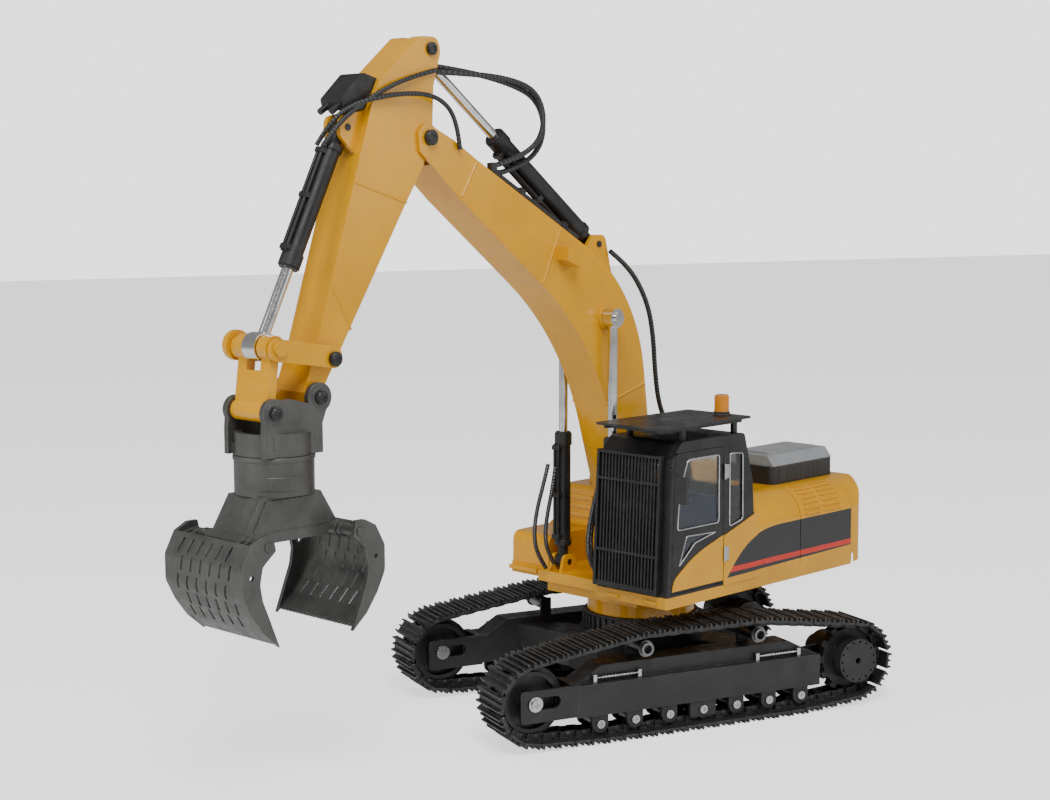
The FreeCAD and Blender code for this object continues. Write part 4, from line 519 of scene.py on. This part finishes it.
FINISHES = {
    "chassis_frame": frame_black, "side_frame_left": frame_black, "side_frame_right": frame_black,
    "idler_forks": frame_black, "track_left": track_black, "track_right": track_black,
    "track_rollers": dark_steel, "carrier_rollers": dark_steel, "drive_motors": frame_black,
    "tension_springs": steel, "slew_ring": frame_black, "idler_left": frame_black,
    "idler_right": frame_black, "sprocket_left": frame_black, "sprocket_right": frame_black,
    "undercarriage_screws": steel, "deck": yellow, "deck_pins": bolt_black,
    "side_panels_left": striped, "side_panels_right": yellow, "engine_hood": yellow,
    "counterweight": yellow, "air_filter": filter_grey, "cab_shell": black, "cab_door": black,
    "door_glass": glass, "door_skin": yellow, "cab_glass": glass,
    "cab_trim": hinge_and_mirror("hinge_and_mirror"),
    "operator_seat": seat_blue, "front_guard": black, "roof_guard": mesh_black, "beacon": amber,
    "tool_box": yellow, "fuel_tank": yellow, "boom": yellow, "boom_pins": bolt_black,
    "boom_fittings": lamp_paint, "stick": yellow, "stick_pins": bolt_black,
    "valve_housing": black, "lift_left_barrel": black, "lift_right_barrel": black,
    "crowd_barrel": black, "curl_barrel": black, "lift_left_rod": chrome,
    "lift_right_rod": chrome, "crowd_rod": chrome, "curl_rod": chrome, "rocker_links": yellow,
    "hanger_link": yellow, "grapple_head": grey, "head_bolts": bolt_black, "grapple_body": grey,
    "jaw_front": grey, "jaw_rear": grey,
}
for node_name, finish in FINISHES.items():
    mesh = nodes[node_name].data
    mesh.materials.clear()
    mesh.materials.append(finish)

for hose_name, (hose, hose_length) in hoses.items():
    if hose_name.startswith("lift"):
        skin = ribbed_hose(hose_name + "_skin", (0.12, 0.12, 0.125, 1), 0.25, 1.5, hose_length, 0.7)
    else:
        skin = ribbed_hose(hose_name + "_skin", (0.045, 0.045, 0.047, 1), 0.3, 2.2, hose_length)
    hose.data.materials.append(skin)


# ---------------------------------------------------------------- small details

def upper_point(x, y, z):
    return UPPER @ Vector((x, y, z))


def add_trim(name, body, points, thick, finish):
    """A thin closed bead through a row of points in the upper structure's frame."""
    curve = bpy.data.curves.new(name, "CURVE")
    curve.dimensions = "3D"
    curve.bevel_depth = 1.0
    curve.bevel_resolution = 2
    spline = curve.splines.new("POLY")
    spline.points.add(len(points) - 1)
    for point, place in zip(spline.points, points):
        point.co = (*upper_point(*place), 1)
        point.radius = thick * MM / 2
    spline.use_cyclic_u = True
    curve.materials.append(finish)
    trim = bpy.data.objects.new(name, curve)
    bpy.context.scene.collection.objects.link(trim)
    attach(trim, body)


def rounded(corners, radius, steps=4):
    """The corners of an outline, each replaced by a short arc of points."""
    points = []
    for index, corner in enumerate(corners):
        corner = Vector(corner)
        before = Vector(corners[index - 1])
        after = Vector(corners[(index + 1) % len(corners)])
        first = corner + (before - corner).normalized() * radius
        last = corner + (after - corner).normalized() * radius
        for step in range(steps + 1):
            share = step / steps
            points.append(first.lerp(corner, share).lerp(corner.lerp(last, share), share))
    return points


# Windows of the cab's left side: distance forward and height, in millimetres.
TRIM_THICK = 1.0
DOOR_WINDOW = [(14, 131.9), (55.6, 132), (53.4, 157), (45.3, 176), (14, 176)]
FRONT_WINDOW = [(53.9, 108.9), (46.5, 127.1), (16.8, 126.2), (38.1, 121.9)]
QUARTER_WINDOW = [(-10.8, 131), (3, 127.8), (3, 175.7), (-10.4, 174.6)]


def add_window_trims():
    for name, body, window, radius in (("door_trim", "door", DOOR_WINDOW, 2.5),
                                       ("front_trim", "door", FRONT_WINDOW, 1.2),
                                       ("quarter_trim", "platform", QUARTER_WINDOW, 2.0)):
        outline = [(p.x, CAB_SIDE, p.y) for p in rounded(window, radius)]
        add_trim(name, body, outline, TRIM_THICK, steel)


# Bolt heads: the outer rings as shares of the radius with their heights in millimetres, then
# the six-sided hole's heights from its mouth down and its size as a share of the radius.
SOCKET_SIDES = 24
SOCKET_RINGS = ((1.0, 0.0), (0.96, 0.5), (0.86, 0.62))
HEX_HEIGHTS = (0.62, 0.02)
HEX_SHARE = 0.5


def add_socket(name, body, centre, side, radius):
    """A raised ring with a six-sided hole, on the head of a bolt that lies across the boom."""
    build = bmesh.new()
    count = SOCKET_SIDES
    rings = []
    for reach, height in SOCKET_RINGS:
        rings.append([(reach * radius * math.cos(a), reach * radius * math.sin(a), height)
                      for a in (2 * math.pi * i / count for i in range(count))])
    for height in HEX_HEIGHTS:
        ring = []
        for i in range(count):
            angle = 2 * math.pi * i / count
            off = (angle + math.pi / 6) % (math.pi / 3) - math.pi / 6
            reach = HEX_SHARE * radius / math.cos(off)
            ring.append((reach * math.cos(angle), reach * math.sin(angle), height))
        rings.append(ring)
    made = [[build.verts.new((x * MM, y * MM, z * MM)) for x, y, z in ring] for ring in rings]
    for low, high in zip(made, made[1:]):
        for i in range(count):
            j = (i + 1) % count
            build.faces.new((low[i], low[j], high[j], high[i]))
    build.faces.new(made[-1])
    mesh = bpy.data.meshes.new(name)
    build.to_mesh(mesh)
    build.free()
    mesh.materials.append(bolt_black)
    socket = bpy.data.objects.new(name, mesh)
    tilt = Matrix.Rotation(math.radians(-90 * side), 4, "X")
    turn = Matrix.Rotation(SLEW_TURN, 4, "Z")
    socket.matrix_world = Matrix.Translation(upper_point(*centre)) @ turn @ tilt
    bpy.context.scene.collection.objects.link(socket)
    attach(socket, body)


# Each bolt: its body, its place in the boom's plane, how far out its head is, and its radius.
BOLT_HEADS = [
    ("stick_pivot", "boom", 195.6, 375.8, 17.4, 4.0),
    ("stick_top", "stick", 192.3, 427.4, 14.8, 3.2),
    ("rocker", "stick", 273.5, 251.2, 20.6, 3.6),
    ("tip", "head", 284.5, 230.3, 21.0, 3.4),
    ("hanger", "head", 316.5, 224.0, 21.0, 3.4),
]


def add_sockets():
    for name, body, x, z, wide, radius in BOLT_HEADS:
        for side in (1, -1):
            centre = (x, BOOM_MIDDLE + side * wide, z)
            add_socket("%s_socket_%d" % (name, side), body, centre, side, radius)


add_window_trims()
add_sockets()


# ---------------------------------------------------------------- stage

# Brightness of the floor and the surroundings, as the machine and as the camera see them.
FLOOR_GLOW = (0.12, 1.15)
WORLD_GLOW = (0.30, 2.2)
AIM = Vector((0, 0, 0.2))


def add_floor():
    """A pale floor that looks evenly lit to the camera and still takes soft shadows."""
    mesh = bpy.data.meshes.new("floor")
    build = bmesh.new()
    bmesh.ops.create_grid(build, x_segments=1, y_segments=1, size=6)
    build.to_mesh(mesh)
    build.free()
    floor = bpy.data.objects.new("floor", mesh)
    m = Shader("floor_white")
    m.set("Base Color", m.mix(m.noise(300, 2), (0.86, 0.86, 0.86, 1), (0.82, 0.82, 0.82, 1)))
    m.set("Roughness", 0.7)
    m.set("Emission Color", (1.0, 1.0, 1.0, 1.0))
    seen = m.add("ShaderNodeLightPath").outputs["Is Camera Ray"]
    m.set("Emission Strength", m.spread(seen, 0, 1, *FLOOR_GLOW))
    mesh.materials.append(m.material)
    bpy.context.scene.collection.objects.link(floor)


def add_light(name, place, size, power):
    """A round soft light aimed at the middle of the machine."""
    data = bpy.data.lights.new(name, "AREA")
    data.shape = "DISK"
    data.size = size
    data.energy = power
    light = bpy.data.objects.new(name, data)
    light.location = place
    aim = AIM - Vector(place)
    light.rotation_euler = aim.to_track_quat("-Z", "Y").to_euler()
    bpy.context.scene.collection.objects.link(light)


def add_world():
    """White surroundings, brighter to the camera than to the machine."""
    world = bpy.data.worlds.new("studio")
    world.use_nodes = True
    tree = world.node_tree
    background = tree.nodes["Background"]
    background.inputs["Color"].default_value = (1.0, 1.0, 1.0, 1.0)
    seen = tree.nodes.new("ShaderNodeLightPath")
    strength = tree.nodes.new("ShaderNodeMapRange")
    strength.inputs["To Min"].default_value, strength.inputs["To Max"].default_value = WORLD_GLOW
    tree.links.new(seen.outputs["Is Camera Ray"], strength.inputs["Value"])
    tree.links.new(strength.outputs["Result"], background.inputs["Strength"])
    bpy.context.scene.world = world


add_floor()
add_world()
add_light("key", (0.5, 1.2, 1.8), 1.0, 34)
add_light("fill", (-1.4, 1.2, 0.9), 1.4, 9)
add_light("front", (1.7, 0.1, 0.8), 1.0, 10)
